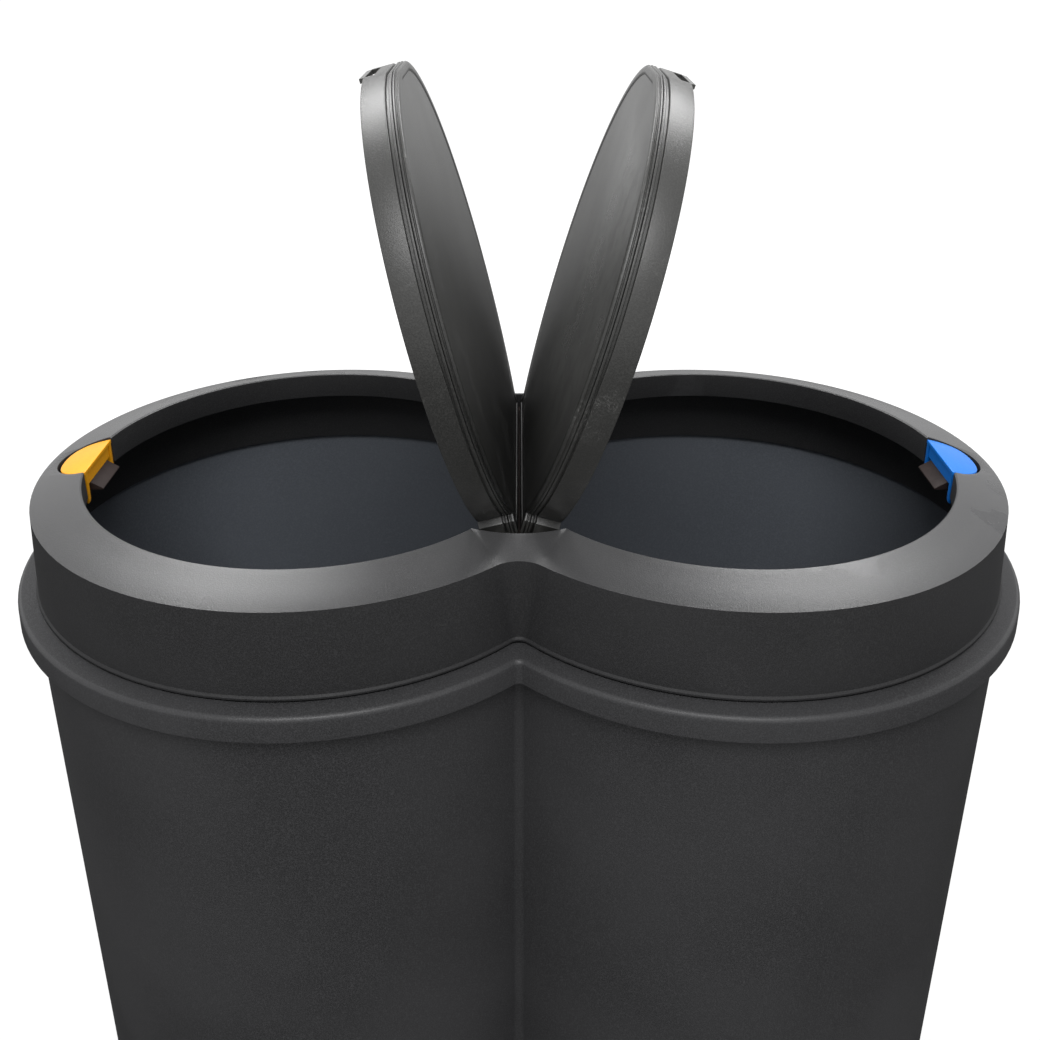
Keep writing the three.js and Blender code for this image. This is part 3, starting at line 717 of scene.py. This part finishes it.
# ---------------- tub and divider
FLOOR = 4.6
HOLLOW = 4  # radius of the tub's hollow at the waist
RIM_HOLLOW = 3.6
RIM_DROP = 14.5  # how far the rim is turned down
GUIDE_DROP = 7  # the divider's guides end this far below the lid frame's foot


def inner_waist(m):
    """How far from the middle the tub's inner wall is at the waist, at the floor and at the top."""
    return [waist_y(m, radius - m.wall, HOLLOW + m.wall) for radius in (m.tub_foot, m.tub_top)]


def tub(m):
    """The tub from its foot up the outside, over the turned-down rim and down the inside to its floor."""
    outlines = [
        # radius and hollow, how far both move outwards, height, rounding
        (m.tub_foot, HOLLOW, -17, 2.5, 0),
        (m.tub_foot, HOLLOW, -15.5, 0, 0.6),
        (m.tub_foot, HOLLOW, -0.2, 0, 3.2),
        (m.tub_top, HOLLOW, 0, m.rim_z - 4, 1.2),
        (m.rim, RIM_HOLLOW, -m.wall, m.rim_z - 5.4, 0.9),
        (m.rim, RIM_HOLLOW, 0.6 - m.wall, m.rim_z - RIM_DROP, 0.5),
        (m.rim, RIM_HOLLOW, 0.28, m.rim_z - RIM_DROP, 0.9),
        (m.rim, RIM_HOLLOW, -0.1, m.rim_z - 2.2, 2.3),
        (m.tub_top, HOLLOW, -0.6, m.rim_z - 0.1, 1.6),
        (m.tub_top, HOLLOW, -m.wall, m.rim_z - 0.1, 0.7),
        (m.tub_foot, HOLLOW, -m.wall, FLOOR, 5.0),
    ]
    rings = [(waisted(m, radius + by, hollow - by, z), given) for radius, hollow, by, z, given in outlines]
    piece = loft("tub", rings)
    foot_y, top_y = inner_waist(m)
    guide_top = m.skirt_z - GUIDE_DROP
    guides = []
    for side in (1, -1):
        outline = [
            (side * (foot_y - 5), FLOOR - 0.6),
            (side * (foot_y + 1.4), FLOOR - 0.6),
            (side * (top_y + 1.2), guide_top),
            (side * (top_y - 3.4), guide_top),
            (side * (top_y - 5), guide_top - 2),
        ]
        guides += [bar("guide", outline, x, x + 1.7, ALONG_X) for x in (1.25, -2.95)]
    return combine(piece, guides, "UNION")


def inside_the_tub(m, polygon):
    """Whether a face of the tub looks into the space for the rubbish, or stands on a divider guide there."""
    spot, out = polygon.center / MM, polygon.normal
    if not FLOOR - 1 < spot.z < m.rim_z - 0.8:
        return False
    across = spot.xy - Vector((math.copysign(m.lobe, spot.x), 0))
    at_guide = abs(spot.x) < 3 and abs(spot.y) < waist_y(m, m.tub_foot, HOLLOW) - 1
    on_floor = out.z > 0.7 and spot.z < FLOOR + 6
    return at_guide or on_floor or (out.xy.dot(across) < 0 and across.length < m.tub_top + 2.7)


class BIN_OT_tub(bpy.types.Operator):
    """Adds the tub, grained outside and smooth inside with a lighter tone painted on as sheen, and the
    divider that slides into its guides
    """

    bl_idname = "bin.tub"
    bl_label = "Tub and divider"

    def execute(self, context):
        m = measures()
        piece = tub(m)
        finish(piece, "bin", ["bin_body"], "charcoal_plastic", MATERIALS["outside"], MATERIALS["inside"])
        for polygon in piece.data.polygons:
            polygon.material_index = int(inside_the_tub(m, polygon))

        foot_y, top_y = inner_waist(m)
        shoulder = m.skirt_z - GUIDE_DROP + 1
        wing, neck = 95.5, 79
        half = [
            (foot_y - 6, FLOOR + 0.6),
            (foot_y - 1, FLOOR + 6.2),
            (top_y - 1, shoulder),
            (wing, shoulder + 2),
            (wing, m.bar_foot - 6),
            (neck, m.bar_foot - 6),
            (neck, m.panel_top),
        ]
        outline = half + [(-y, z) for y, z in reversed(half)]
        panel = round_edges(bar("divider", outline, -0.9, 0.9, ALONG_X), 0.35)
        # The divider takes the inside's finish, painted sheen included.
        finish(panel, "bin", ["divider_panel"], "charcoal_plastic", MATERIALS["inside"])
        return {"FINISHED"}


# ---------------- lid frame
SCREW_Y = 93.2
PILOT = 1.9  # radius of the screws' holes
BUTTON_FLAT = 116.5  # a latch button's straight inner edge, from the lobe's middle


def button_outline(half, depth, inwards, steps=28, square=1.0):
    """Half ellipse that bulges outwards from a straight edge, as distance from the lobe and across. A power
    below one, square, fills out its corners."""
    points = [(BUTTON_FLAT - inwards, half), (BUTTON_FLAT - inwards, -half)]
    first = 0 if inwards > 0 else 1
    for i in range(first, steps + 1 - first):
        angle = math.pi * i / steps - math.pi / 2
        out, across = math.cos(angle), math.sin(angle)
        out, across = abs(out) ** square, math.copysign(abs(across) ** square, across)
        points.append((BUTTON_FLAT + depth * out, half * across))
    return points


def lid_frame(m):
    crest, top, foot = m.crest_z, m.top, m.skirt_z
    crest_edge, mouth_edge = waisted(m, m.crest, 15.4, crest), mouthed(m, m.mouth + 0.9, top)
    rings = [
        (waisted(m, m.skirt, 5, foot), 0.45),
        (waisted(m, m.skirt, 5, foot + 1.2), 0.5),
        (waisted(m, m.skirt - 0.9, 5.9, foot + 2.2), 1.0),
        (crest_edge, 4.0),
        (between(crest_edge, mouth_edge, 0.5), 0),
        (between(crest_edge, mouth_edge, 0.85), 0),
        (mouth_edge, 0.6),
        (mouthed(m, m.mouth, top - 0.5), 0.6),
        (mouthed(m, m.mouth - 0.3, crest - 8), 0.5),
        (mouthed(m, m.mouth + 1.9, crest - 8), 0.4),
        (mouthed(m, m.mouth + 2.2, top - 3.4), 0),
        (waisted(m, m.crest - 4.5, 20, crest - 2.6), 0),
        (waisted(m, m.crest - m.wall, 17.5, crest - 5), 0),
        (waisted(m, m.skirt - 3.8, 8.8, foot + 5), 0),
        (waisted(m, m.skirt - 3.8, 8.8, foot - 3), 0.4),
        (waisted(m, m.skirt - 1.5, 6.5, foot - 3), 0.4),
        (waisted(m, m.skirt - 1.5, 6.5, foot), 0),
    ]
    piece = loft("mouth_frame", rings, closed=True)
    for side in (1, -1):
        boss = rod("boss", (0, side * SCREW_Y, m.boss_foot), (0, side * SCREW_Y, top), 3.6)
        under_flange = [(side * 84, top), (side * 100, top - 9), (side * 100, top + 9), (side * 84, top + 9)]
        combine(boss, [bar("trim", under_flange, -5, 5, ALONG_X)], "DIFFERENCE")
        combine(piece, [boss], "UNION")
    cuts = [rod("pilot", (0, y, m.boss_foot - 1), (0, y, crest - 5), PILOT) for y in (SCREW_Y, -SCREW_Y)]
    for side in (1, -1):
        outline = [(side * (m.lobe + u), side * y) for u, y in button_outline(22.2, 21, 7)]
        cuts.append(bar("notch", outline, crest - 12, top + 3))
    combine(piece, cuts, "DIFFERENCE")

    def at_notch(point):
        near = BUTTON_FLAT - 7.5 < abs(point.x) - m.lobe < BUTTON_FLAT + 22
        return near and abs(point.y) < 23 and point.z > crest - 3

    return round_edges(piece, 0.3, sharper=50, segments=2, where=at_notch)


class BIN_OT_lid_frame(bpy.types.Operator):
    """Adds the lid frame: sloping flange, two mouths, skirt, screw bosses and latch notches"""

    bl_idname = "bin.lid_frame"
    bl_label = "Lid frame"

    def execute(self, context):
        finish(lid_frame(measures()), "bin", ["lid_frame"], "charcoal_plastic", MATERIALS["frame"])
        return {"FINISHED"}


# ---------------- hinge
EAR_IN, EAR_OUT = 80, 83
SPRING_START = 12.5
COIL_R = 3.3
SPRING_WIRE = 1.1
BORE = 2.3
KNUCKLE = 3.8
ROD = 2


def bridge(m):
    """The bar across the middle: ears at its ends, posts in the middle and a thin rib between the lids."""
    x, z = m.hinge_x, m.hinge_z
    main = block("bridge", (-8.6, -EAR_OUT, m.bar_foot), (8.6, EAR_OUT, m.bar_top))
    parts = [block("rib", (-0.7, -EAR_OUT, m.bar_top - 1), (0.7, EAR_OUT, m.crest_z - 0.6))]
    cuts = [block("slot", (-1.3, -EAR_IN, m.bar_foot - 1), (1.3, EAR_IN, m.panel_top + 0.3))]
    for end in (1, -1):
        near, far = sorted((end * EAR_IN, end * EAR_OUT))
        tongue = sorted((end * (EAR_OUT - 1), end * 96.4))
        screw_y = end * SCREW_Y
        parts.append(block("ear", (-13.4, near, m.bar_foot), (13.4, far, z)))
        parts.append(block("tongue", (-6, tongue[0], m.bar_foot), (6, tongue[1], m.boss_foot - 0.3)))
        cuts.append(rod("hole", (0, screw_y, m.bar_foot - 1), (0, screw_y, m.boss_foot + 1), PILOT))
        parts += [rod("knuckle", (side * x, near, z), (side * x, far, z), KNUCKLE) for side in (1, -1)]
    for side in (1, -1):
        low, high = sorted((side * 7.4, side * 12.6))
        parts.append(block("post", (low, -5, m.bar_foot), (high, 5, z)))
        parts.append(rod("knuckle", (side * x, -5, z), (side * x, 5, z), KNUCKLE))
        cuts.append(rod("bore", (side * x, -EAR_OUT - 1, z), (side * x, EAR_OUT + 1, z), BORE))
        tail_x, tail_y = side * (x - COIL_R), side * SPRING_START
        low, high = (tail_x - 1.1, tail_y - 1.4, m.bar_top - 6), (tail_x + 1.1, tail_y + 1.4, m.bar_top + 1)
        cuts.append(block("tail_slot", low, high))
    combine(main, parts, "UNION")
    combine(main, cuts, "DIFFERENCE")
    return round_edges(main, 0.3, sharper=60, segments=2)


def coil_spring(m, side):
    """The tail stands in the bridge, the coil goes round the rod, and the arm lies under the lid. Gives the
    wire and how far along the rod the coil ends."""
    turns, pitch, per_turn = 5, 1.75, 24
    open_angle = OPEN_ANGLES[side]
    sweep = 2 * math.pi * turns + math.pi / 2 - open_angle
    steps = round(per_turn * sweep / (2 * math.pi))
    x, z = m.hinge_x, m.hinge_z
    points = [(x - COIL_R, SPRING_START, z - drop) for drop in (16, 8, 2.5)]
    for i in range(steps + 1):
        angle = math.pi - sweep * i / steps
        y = SPRING_START + pitch * sweep * i / (2 * math.pi * steps)
        points.append((x + COIL_R * math.cos(angle), y, z + COIL_R * math.sin(angle)))
    ceiling = m.face - 6.7
    for s, h in ((3.2, 3.4), (8.2, ceiling), (14, ceiling), (24, ceiling)):
        along, up = math.cos(open_angle), math.sin(open_angle)
        points.append((x + s * along - h * up, y, z + s * up + h * along))
    return placed(wire("coil_" + side, points, SPRING_WIRE), HALVES[side]), y


def screw(m, y):
    """A pan-head screw with a cross slot, from under the bridge up into the lid frame's boss."""
    foot, slot_half, slot_reach = m.bar_foot, 0.35, 2
    head = round_edges(rod("screw", (0, y, foot - 2.4), (0, y, foot - 0.3), 3.1), 0.7)
    shank = rod("shank", (0, y, foot - 1), (0, y, m.crest_z - 10), 1.5, 32)
    combine(head, [shank], "UNION")
    cross = [
        block("slot", (-a, y - b, foot - 3), (a, y + b, foot - 1.5))
        for a, b in ((slot_reach, slot_half), (slot_half, slot_reach))
    ]
    return combine(head, cross, "DIFFERENCE")


class BIN_OT_hinge(bpy.types.Operator):
    """Adds the bridge between the mouths with its two rods, screws and torsion springs"""

    bl_idname = "bin.hinge"
    bl_label = "Hinge"

    def execute(self, context):
        m = measures()
        finish(bridge(m), "bin", ["hinge_bridge"], "charcoal_plastic", MATERIALS["latch"])
        for end, y in (("front", -SCREW_Y), ("back", SCREW_Y)):
            piece = screw(m, y)
            piece.name = "screw_" + end
            finish(piece, "bin", ["bridge_screw_" + end], "zinc_steel", MATERIALS["steel"])
        reach = EAR_OUT - 0.2
        right = rod("rod_right", (m.hinge_x, -reach, m.hinge_z), (m.hinge_x, reach, m.hinge_z), ROD)
        round_edges(right, 0.4)
        for side, pin in (("right", right), ("left", turned_copy(right, "rod_left"))):
            finish(pin, "bin", ["hinge_rod_" + side], "zinc_steel", MATERIALS["steel"])
            coil, last_y = coil_spring(m, side)
            finish(coil, None, ["torsion_spring_" + side], "zinc_steel", MATERIALS["steel"], smooth=180)
            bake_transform(coil)
        return {"FINISHED"}


# ---------------- lids
def lid_place(m, side):
    """From the shut lid's own frame, about its rod, to one side's lid at its open stop."""
    hinge = Vector((m.hinge_x, 0, m.hinge_z)) * MM
    return HALVES[side] @ Matrix.Translation(hinge) @ Matrix.Rotation(-OPEN_ANGLES[side], 4, "Y")


FACE_HEEL = (4.9, 8.2)
FOOT_HEEL = (3, 2.5)


def heel_wedge(face, up, heel):
    """Takes one long corner off the hinge side, so that it turns clear of the bridge and the other lid. The
    chamfer falls this far down the hinge side and runs in this far along the face."""
    fall, run = heel
    past = 2
    outline = [
        (-NECK_BACK - past, face - up * (fall + past * fall / run)),
        (run - NECK_BACK + past * run / fall, face + up * past),
        (-NECK_BACK - past, face + up * past),
    ]
    return bar("wedge", outline, -NECK_HALF - 1, NECK_HALF + 1, ALONG_Y)


def lid_shell(m):
    """The lid's skirt and ceiling ring. The groove round it gapes a little over the outer half."""
    top = m.face - 3.6

    def gape(s):
        return -0.45 * smooth_step(s, 90, 118)

    rings = [
        (lid_outline(m, 0, m.foot), 0.5),
        (lid_outline(m, 0, top - 2.6, gape), 0.3),
        (lid_outline(m, 1.3, top - 2.3, gape), 0),
        (lid_outline(m, 1.3, top - 1.6), 0),
        (lid_outline(m, 0, top - 1.3), 0.3),
        (lid_outline(m, 0, top), 0.45),
        (lid_window(m, top - 0.2), 0.3),
        (lid_window(m, top - 2), 0.3),
        (lid_outline(m, 2.2, top - 2), 0),
        (lid_outline(m, 2.2, m.foot), 0.4),
    ]
    piece = loft("shell_right", rings, closed=True)
    ears = ((-78, -71), (-10, -6.6), (6.6, 10), (71, 78))
    added = [block("ear", (-4.2, y0, -4), (4.2, y1, top - 1)) for y0, y1 in ears]
    tip = m.lobe_s + m.lid_tip
    added.append(block("tab", (tip - 2.2, -15.9, m.foot - 2), (tip - 0.02, 15.9, m.foot + 1)))
    combine(piece, added, "UNION")
    cuts = [
        rod("bore", (0, -NECK_HALF - 1, 0), (0, NECK_HALF + 1, 0), BORE),
        block("knuckle_window", (-NECK_BACK - 1, -5.8, m.foot - 1), (5, 5.8, top + 1)),
        block("spring_window", (-NECK_BACK - 1, 11, m.foot - 1), (9, 27, top + 1)),
        block("striker", (tip - 4, -14.4, m.foot + 0.6), (tip + 1, 14.4, m.foot + 5.2)),
        heel_wedge(m.foot, -1, FOOT_HEEL),
        heel_wedge(m.face, 1, FACE_HEEL),
    ]
    return combine(piece, cuts, "DIFFERENCE")


def lid_cover(m):
    """The lid's top: a thin flange, a groove, a rounded rim and the face sunk inside it. Its hinge side
    slopes like the shell's wedge."""
    low, face = m.face - 3.3, m.face
    sunk = 0.7
    fall, run = FACE_HEEL

    def edge(inset, height, inwards=0):
        heel = inwards + run - NECK_BACK - (face - height) * run / fall
        return lid_outline(m, inset, height, heel=heel)

    rings = [
        (edge(3.0, face - 2.5, 3), 0),
        (edge(3.0, low, 3), 0.2),
        (edge(0.0, low), 0.25),
        (edge(0.0, low + 0.85), 0.3),
        (edge(0.75, low + 1.1), 0.25),
        (edge(0.75, low + 1.6), 0.25),
        (edge(0.25, low + 1.85), 0.3),
        (edge(0.55, face - 0.35), 0.5),
        (edge(2.0, face), 0.7),
        (edge(3.9, face - 0.05, 1.9), 0.6),
        (edge(5.2, face - sunk, 3.2), 0.8),
    ]
    return loft("cover_right", rings)


class BIN_OT_lids(bpy.types.Operator):
    """Adds the two round lids at their open stops, each a shell with a cover on it"""

    bl_idname = "bin.lids"
    bl_label = "Lids"

    def execute(self, context):
        m = measures()
        for part, made in (("shell", lid_shell(m)), ("cover", lid_cover(m))):
            left = turned_copy(made, part + "_left", lid_place(m, "left"))
            right = placed(made, lid_place(m, "right"))
            for side, piece in (("left", left), ("right", right)):
                finish(piece, "lid_" + side, [f"lid_{part}_{side}"], "lid_plastic", MATERIALS["lid"])
        return {"FINISHED"}


# ---------------- latches, out along the right lobe
NOSE_TIP = 111
BOLT_REAR = 127.5
SPRING_SEAT = 138.4
BUTTON_SLOPE = 0.21
SPRING_FROM, SPRING_TO = BOLT_REAR + 0.7, SPRING_SEAT - 0.4
PEG = 1


def ramp_z(m, u):
    """The bolt's sloping nose, down which the button's web drives it outwards."""
    return m.crest_z - 7 + (u - NOSE_TIP) * BUTTON_TRAVEL / BOLT_TRAVEL


def latch_button(m):
    """A sloping plate with a web in the middle and a tapered leg at each end."""
    face = m.crest_z + 6.2
    tilt = Matrix.Identity(4)
    tilt[2][0] = -BUTTON_SLOPE
    tilt[2][3] = (face - 2.2 + BUTTON_SLOPE * BUTTON_FLAT) * MM
    plate = bar("button_right", button_outline(20.6, 18.5, 0, 48, 0.84), 0, 2.1)
    round_edges(plate, 0.45, sharper=50, where=lambda point: point.z > 1)
    placed(plate, tilt)
    near, far = 117.2, 119.2
    web = [(near, ramp_z(m, near) + 0.4), (far, ramp_z(m, far) + 0.4), (far, face - 1.6), (near, face - 1.2)]
    leg = [
        (BUTTON_FLAT, m.crest_z - 10.4),
        (BUTTON_FLAT + 0.5, m.crest_z - 12.5),
        (BUTTON_FLAT + 1.5, m.crest_z - 12.5),
        (BUTTON_FLAT + 4.6, m.crest_z - 1.5),
        (BUTTON_FLAT + 4.8, face - 2.4),
        (BUTTON_FLAT, face - 1),
    ]
    parts = [bar("web", web, -18, 18, ALONG_Y)]
    for low, high in ((17.4, 20.2), (-20.2, -17.4)):
        parts.append(round_edges(bar("leg", leg, low, high, ALONG_Y), 0.3, sharper=50, segments=2))
    return combine(plate, parts, "UNION")


def latch_bolt(m):
    """A flat slide with a sloping nose towards the mouth and a peg for its spring at the rear."""
    foot, top = m.crest_z - 7.8, m.crest_z - 4.2
    nose_end, step = 119.5, 121.2
    side = [
        (NOSE_TIP, foot),
        (BOLT_REAR, foot),
        (BOLT_REAR, top),
        (step, top),
        (step, ramp_z(m, nose_end)),
        (nose_end, ramp_z(m, nose_end)),
        (NOSE_TIP, ramp_z(m, NOSE_TIP)),
    ]
    piece = round_edges(bar("bolt_right", side, -13.5, 13.5, ALONG_Y), 0.2, sharper=40, segments=2)
    peg = rod("peg", (BOLT_REAR - 1, 0, m.bolt_axis), (BOLT_REAR + 3, 0, m.bolt_axis), PEG, 24)
    return combine(piece, [round_edges(peg, 0.2)], "UNION")


def latch_housing(m):
    """A tray under the flange that guides the bolt, with ears up to the flange and a seat for the spring."""
    top = m.crest_z - 8.2
    foot, rear, wing = top - 1.7, 140.1, 137.6
    main = block("housing_right", (118, -16.4, foot), (136, 16.4, top))
    parts = [
        block("wing", (123, -27, foot), (wing, 27, top)),
        block("back", (135.5, -8, foot), (rear, 8, top)),
        block("seat", (SPRING_SEAT + 0.3, -8, foot), (rear, 8, m.crest_z - 4.6)),
        rod("peg", (SPRING_SEAT - 2.2, 0, m.bolt_axis), (SPRING_SEAT + 1, 0, m.bolt_axis), PEG, 24),
    ]
    for side in (1, -1):
        wall, ear = sorted((side * 14.2, side * 16.4)), sorted((side * 24.6, side * 27))
        parts.append(block("wall", (121, wall[0], foot), (wing, wall[1], m.crest_z - 4)))
        parts.append(block("ear", (123, ear[0], foot), (130, ear[1], m.crest_z - 0.9)))
    combine(main, parts, "UNION")
    return round_edges(main, 0.25, sharper=60, segments=2)


def latch_spring(m):
    """The compression spring between the bolt's rear and its seat."""
    turns, per_turn, radius, thickness = 6, 24, 1.55, 0.6
    points = []
    for i in range(turns * per_turn + 1):
        angle = 2 * math.pi * i / per_turn
        u = SPRING_FROM + (SPRING_TO - SPRING_FROM) * i / (turns * per_turn)
        points.append((u, radius * math.cos(angle), m.bolt_axis + radius * math.sin(angle)))
    return wire("bolt_spring_right", points, thickness)


LATCH_PARTS = {
    "button": latch_button,
    "bolt": latch_bolt,
    "housing": latch_housing,
    "spring": latch_spring,
}


class BIN_OT_latches(bpy.types.Operator):
    """Adds the push-button latches: coloured button, sloping bolt, housing and spring at each mouth"""

    bl_idname = "bin.latches"
    bl_label = "Latches"

    def execute(self, context):
        m = measures()
        outwards = Matrix.Translation((m.lobe * MM, 0, 0))
        for part, make in LATCH_PARTS.items():
            right = placed(make(m), outwards)
            left = turned_copy(right, right.name.replace("right", "left"))
            for side, piece in (("right", right), ("left", left)):
                body = f"{part}_{side}" if part in ("button", "bolt") else "bin"
                slot, material = "dark_plastic", MATERIALS["latch"]
                if part == "button":
                    tone = "blue" if side == "right" else "yellow"
                    slot, material = tone + "_plastic", MATERIALS[tone]
                if part == "spring":
                    slot, material = "zinc_steel", MATERIALS["steel"]
                finish(piece, body, [f"latch_{part}_{side}"], slot, material)
                if part == "spring":
                    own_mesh(piece)
        return {"FINISHED"}


# ---------------- floor, light and camera
SOFTBOXES = {
    "behind_left": {"at": (-0.68, 0.9, 2.1), "size": (0.8, 0.8), "watts": 22},
    "behind_right": {"at": (0.68, 0.9, 2.1), "size": (0.8, 0.8), "watts": 22},
    "front": {"at": (0.0, -1.5, 2.3), "size": (1.4, 0.9), "watts": 36},
}
LIT_POINT = Vector((0, 0, 0.45))
CAMERA_AT = Vector((0, -0.5694, 0.7667))
CAMERA_PITCH = math.radians(68.04)
CAMERA_LENS = 40.6
CAMERA_SHIFT = (0.001, -0.125)
AMBIENT = 0.45
FLOOR_SIZE = 24
WHITE = (1, 1, 1, 1)


def seen_directly(tree):
    """1 for the rays that see the background itself: from the camera, or by reflection or through glass."""
    rays = node(tree, "LightPath").outputs
    either = maths(tree, "MAXIMUM", rays["Is Camera Ray"], rays["Is Glossy Ray"])
    return maths(tree, "MAXIMUM", either, rays["Is Transmission Ray"])


def floor():
    """A pale floor that keeps soft shadows and fades to white. In reflections it is dark near the bin."""
    only()
    bpy.ops.mesh.primitive_plane_add(size=FLOOR_SIZE)
    piece = bpy.context.object
    piece.name = "floor"
    edit(piece)
    bpy.ops.mesh.subdivide(number_cuts=8)
    only()
    material, tree, shader = new_material("Pale floor")
    tree.nodes.remove(shader)
    away = node(tree, "VectorMath", {0: object_place(tree)}, operation="LENGTH").outputs["Value"]
    bounce = node(tree, "BsdfDiffuse", {"Color": (0.75, 0.75, 0.75, 1)}).outputs[0]
    shade = node(tree, "BsdfDiffuse", {"Color": (0.4, 0.4, 0.4, 1)}).outputs[0]
    glow, mirrored = (
        node(tree, "Emission", {"Color": WHITE, "Strength": ramp(tree, away, *fade)}).outputs[0]
        for fade in ((0.7, 2.0, 0.5, 0.9), (1.2, 8.5, 0.03, 0.95))
    )
    shown = node(tree, "AddShader", {0: shade, 1: glow}).outputs[0]
    glossy = node(tree, "LightPath").outputs["Is Glossy Ray"]
    direct = node(tree, "MixShader", {0: glossy, 1: shown, 2: mirrored}).outputs[0]
    either = node(tree, "MixShader", {0: seen_directly(tree), 1: bounce, 2: direct}).outputs[0]
    feed(tree, tree.nodes["Material Output"], {"Surface": either})
    piece.data.materials.append(material)
    piece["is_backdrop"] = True


def softbox(name, at, size, watts):
    lamp = bpy.data.lights.new(name, "AREA")
    lamp.shape = "RECTANGLE"
    lamp.size, lamp.size_y = size
    lamp.energy = watts
    holder = add_object(name, lamp)
    holder.location = at
    holder.rotation_euler = (LIT_POINT - Vector(at)).to_track_quat("-Z", "Y").to_euler()


class BIN_OT_stage(bpy.types.Operator):
    """Adds the pale floor, the white surroundings, the softboxes and the camera"""

    bl_idname = "bin.stage"
    bl_label = "Floor, light and camera"

    def execute(self, context):
        floor()
        world = bpy.data.worlds.new("white surroundings")
        context.scene.world = world
        world.use_nodes = True
        tree = world.node_tree
        values = {"Value": seen_directly(tree), "To Min": AMBIENT, "To Max": 1.0}
        strength = node(tree, "MapRange", values).outputs["Result"]
        feed(tree, tree.nodes["Background"], {"Color": WHITE, "Strength": strength})
        for name, facts in SOFTBOXES.items():
            softbox("softbox_" + name, **facts)
        camera = bpy.data.cameras.new("camera")
        camera.lens = CAMERA_LENS
        camera.shift_x, camera.shift_y = CAMERA_SHIFT
        holder = add_object("camera", camera)
        holder.location = CAMERA_AT
        holder.rotation_euler = (CAMERA_PITCH, 0, 0)
        context.scene.camera = holder
        context.scene.view_settings.view_transform = "Standard"
        return {"FINISHED"}


class BIN_PT_sidebar(bpy.types.Panel):
    """The bin's pieces, sizes and colours"""

    bl_label = "Double recycling bin"
    bl_idname = "BIN_PT_sidebar"
    bl_space_type = "VIEW_3D"
    bl_region_type = "UI"
    bl_category = "Bin"

    def draw(self, context):
        for operator in OPERATORS:
            self.layout.operator(operator.bl_idname)
        for settings in (context.scene.bin_sizes, context.scene.bin_colours):
            box = self.layout.box()
            for name in settings.__annotations__:
                box.prop(settings, name)


OPERATORS = (BIN_OT_tub, BIN_OT_lid_frame, BIN_OT_hinge, BIN_OT_lids, BIN_OT_latches, BIN_OT_stage)
CLASSES = (BinSizes, BinColours, *OPERATORS, BIN_PT_sidebar)


def register():
    for made in CLASSES:
        bpy.utils.register_class(made)
    bpy.types.Scene.bin_sizes = bpy.props.PointerProperty(type=BinSizes)
    bpy.types.Scene.bin_colours = bpy.props.PointerProperty(type=BinColours)


def unregister():
    del bpy.types.Scene.bin_colours
    del bpy.types.Scene.bin_sizes
    for made in reversed(CLASSES):
        bpy.utils.unregister_class(made)


def main():
    register()
    build_materials()
    bpy.ops.bin.tub()
    bpy.ops.bin.lid_frame()
    bpy.ops.bin.hinge()
    bpy.ops.bin.lids()
    bpy.ops.bin.latches()
    bpy.ops.bin.stage()
    only()
    boxes = {"cad": CAD_BOX, "visual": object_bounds()}
    {name: [list(corner) for corner in box] for name, box in boxes.items()}


if __name__ == "__main__":
    main()
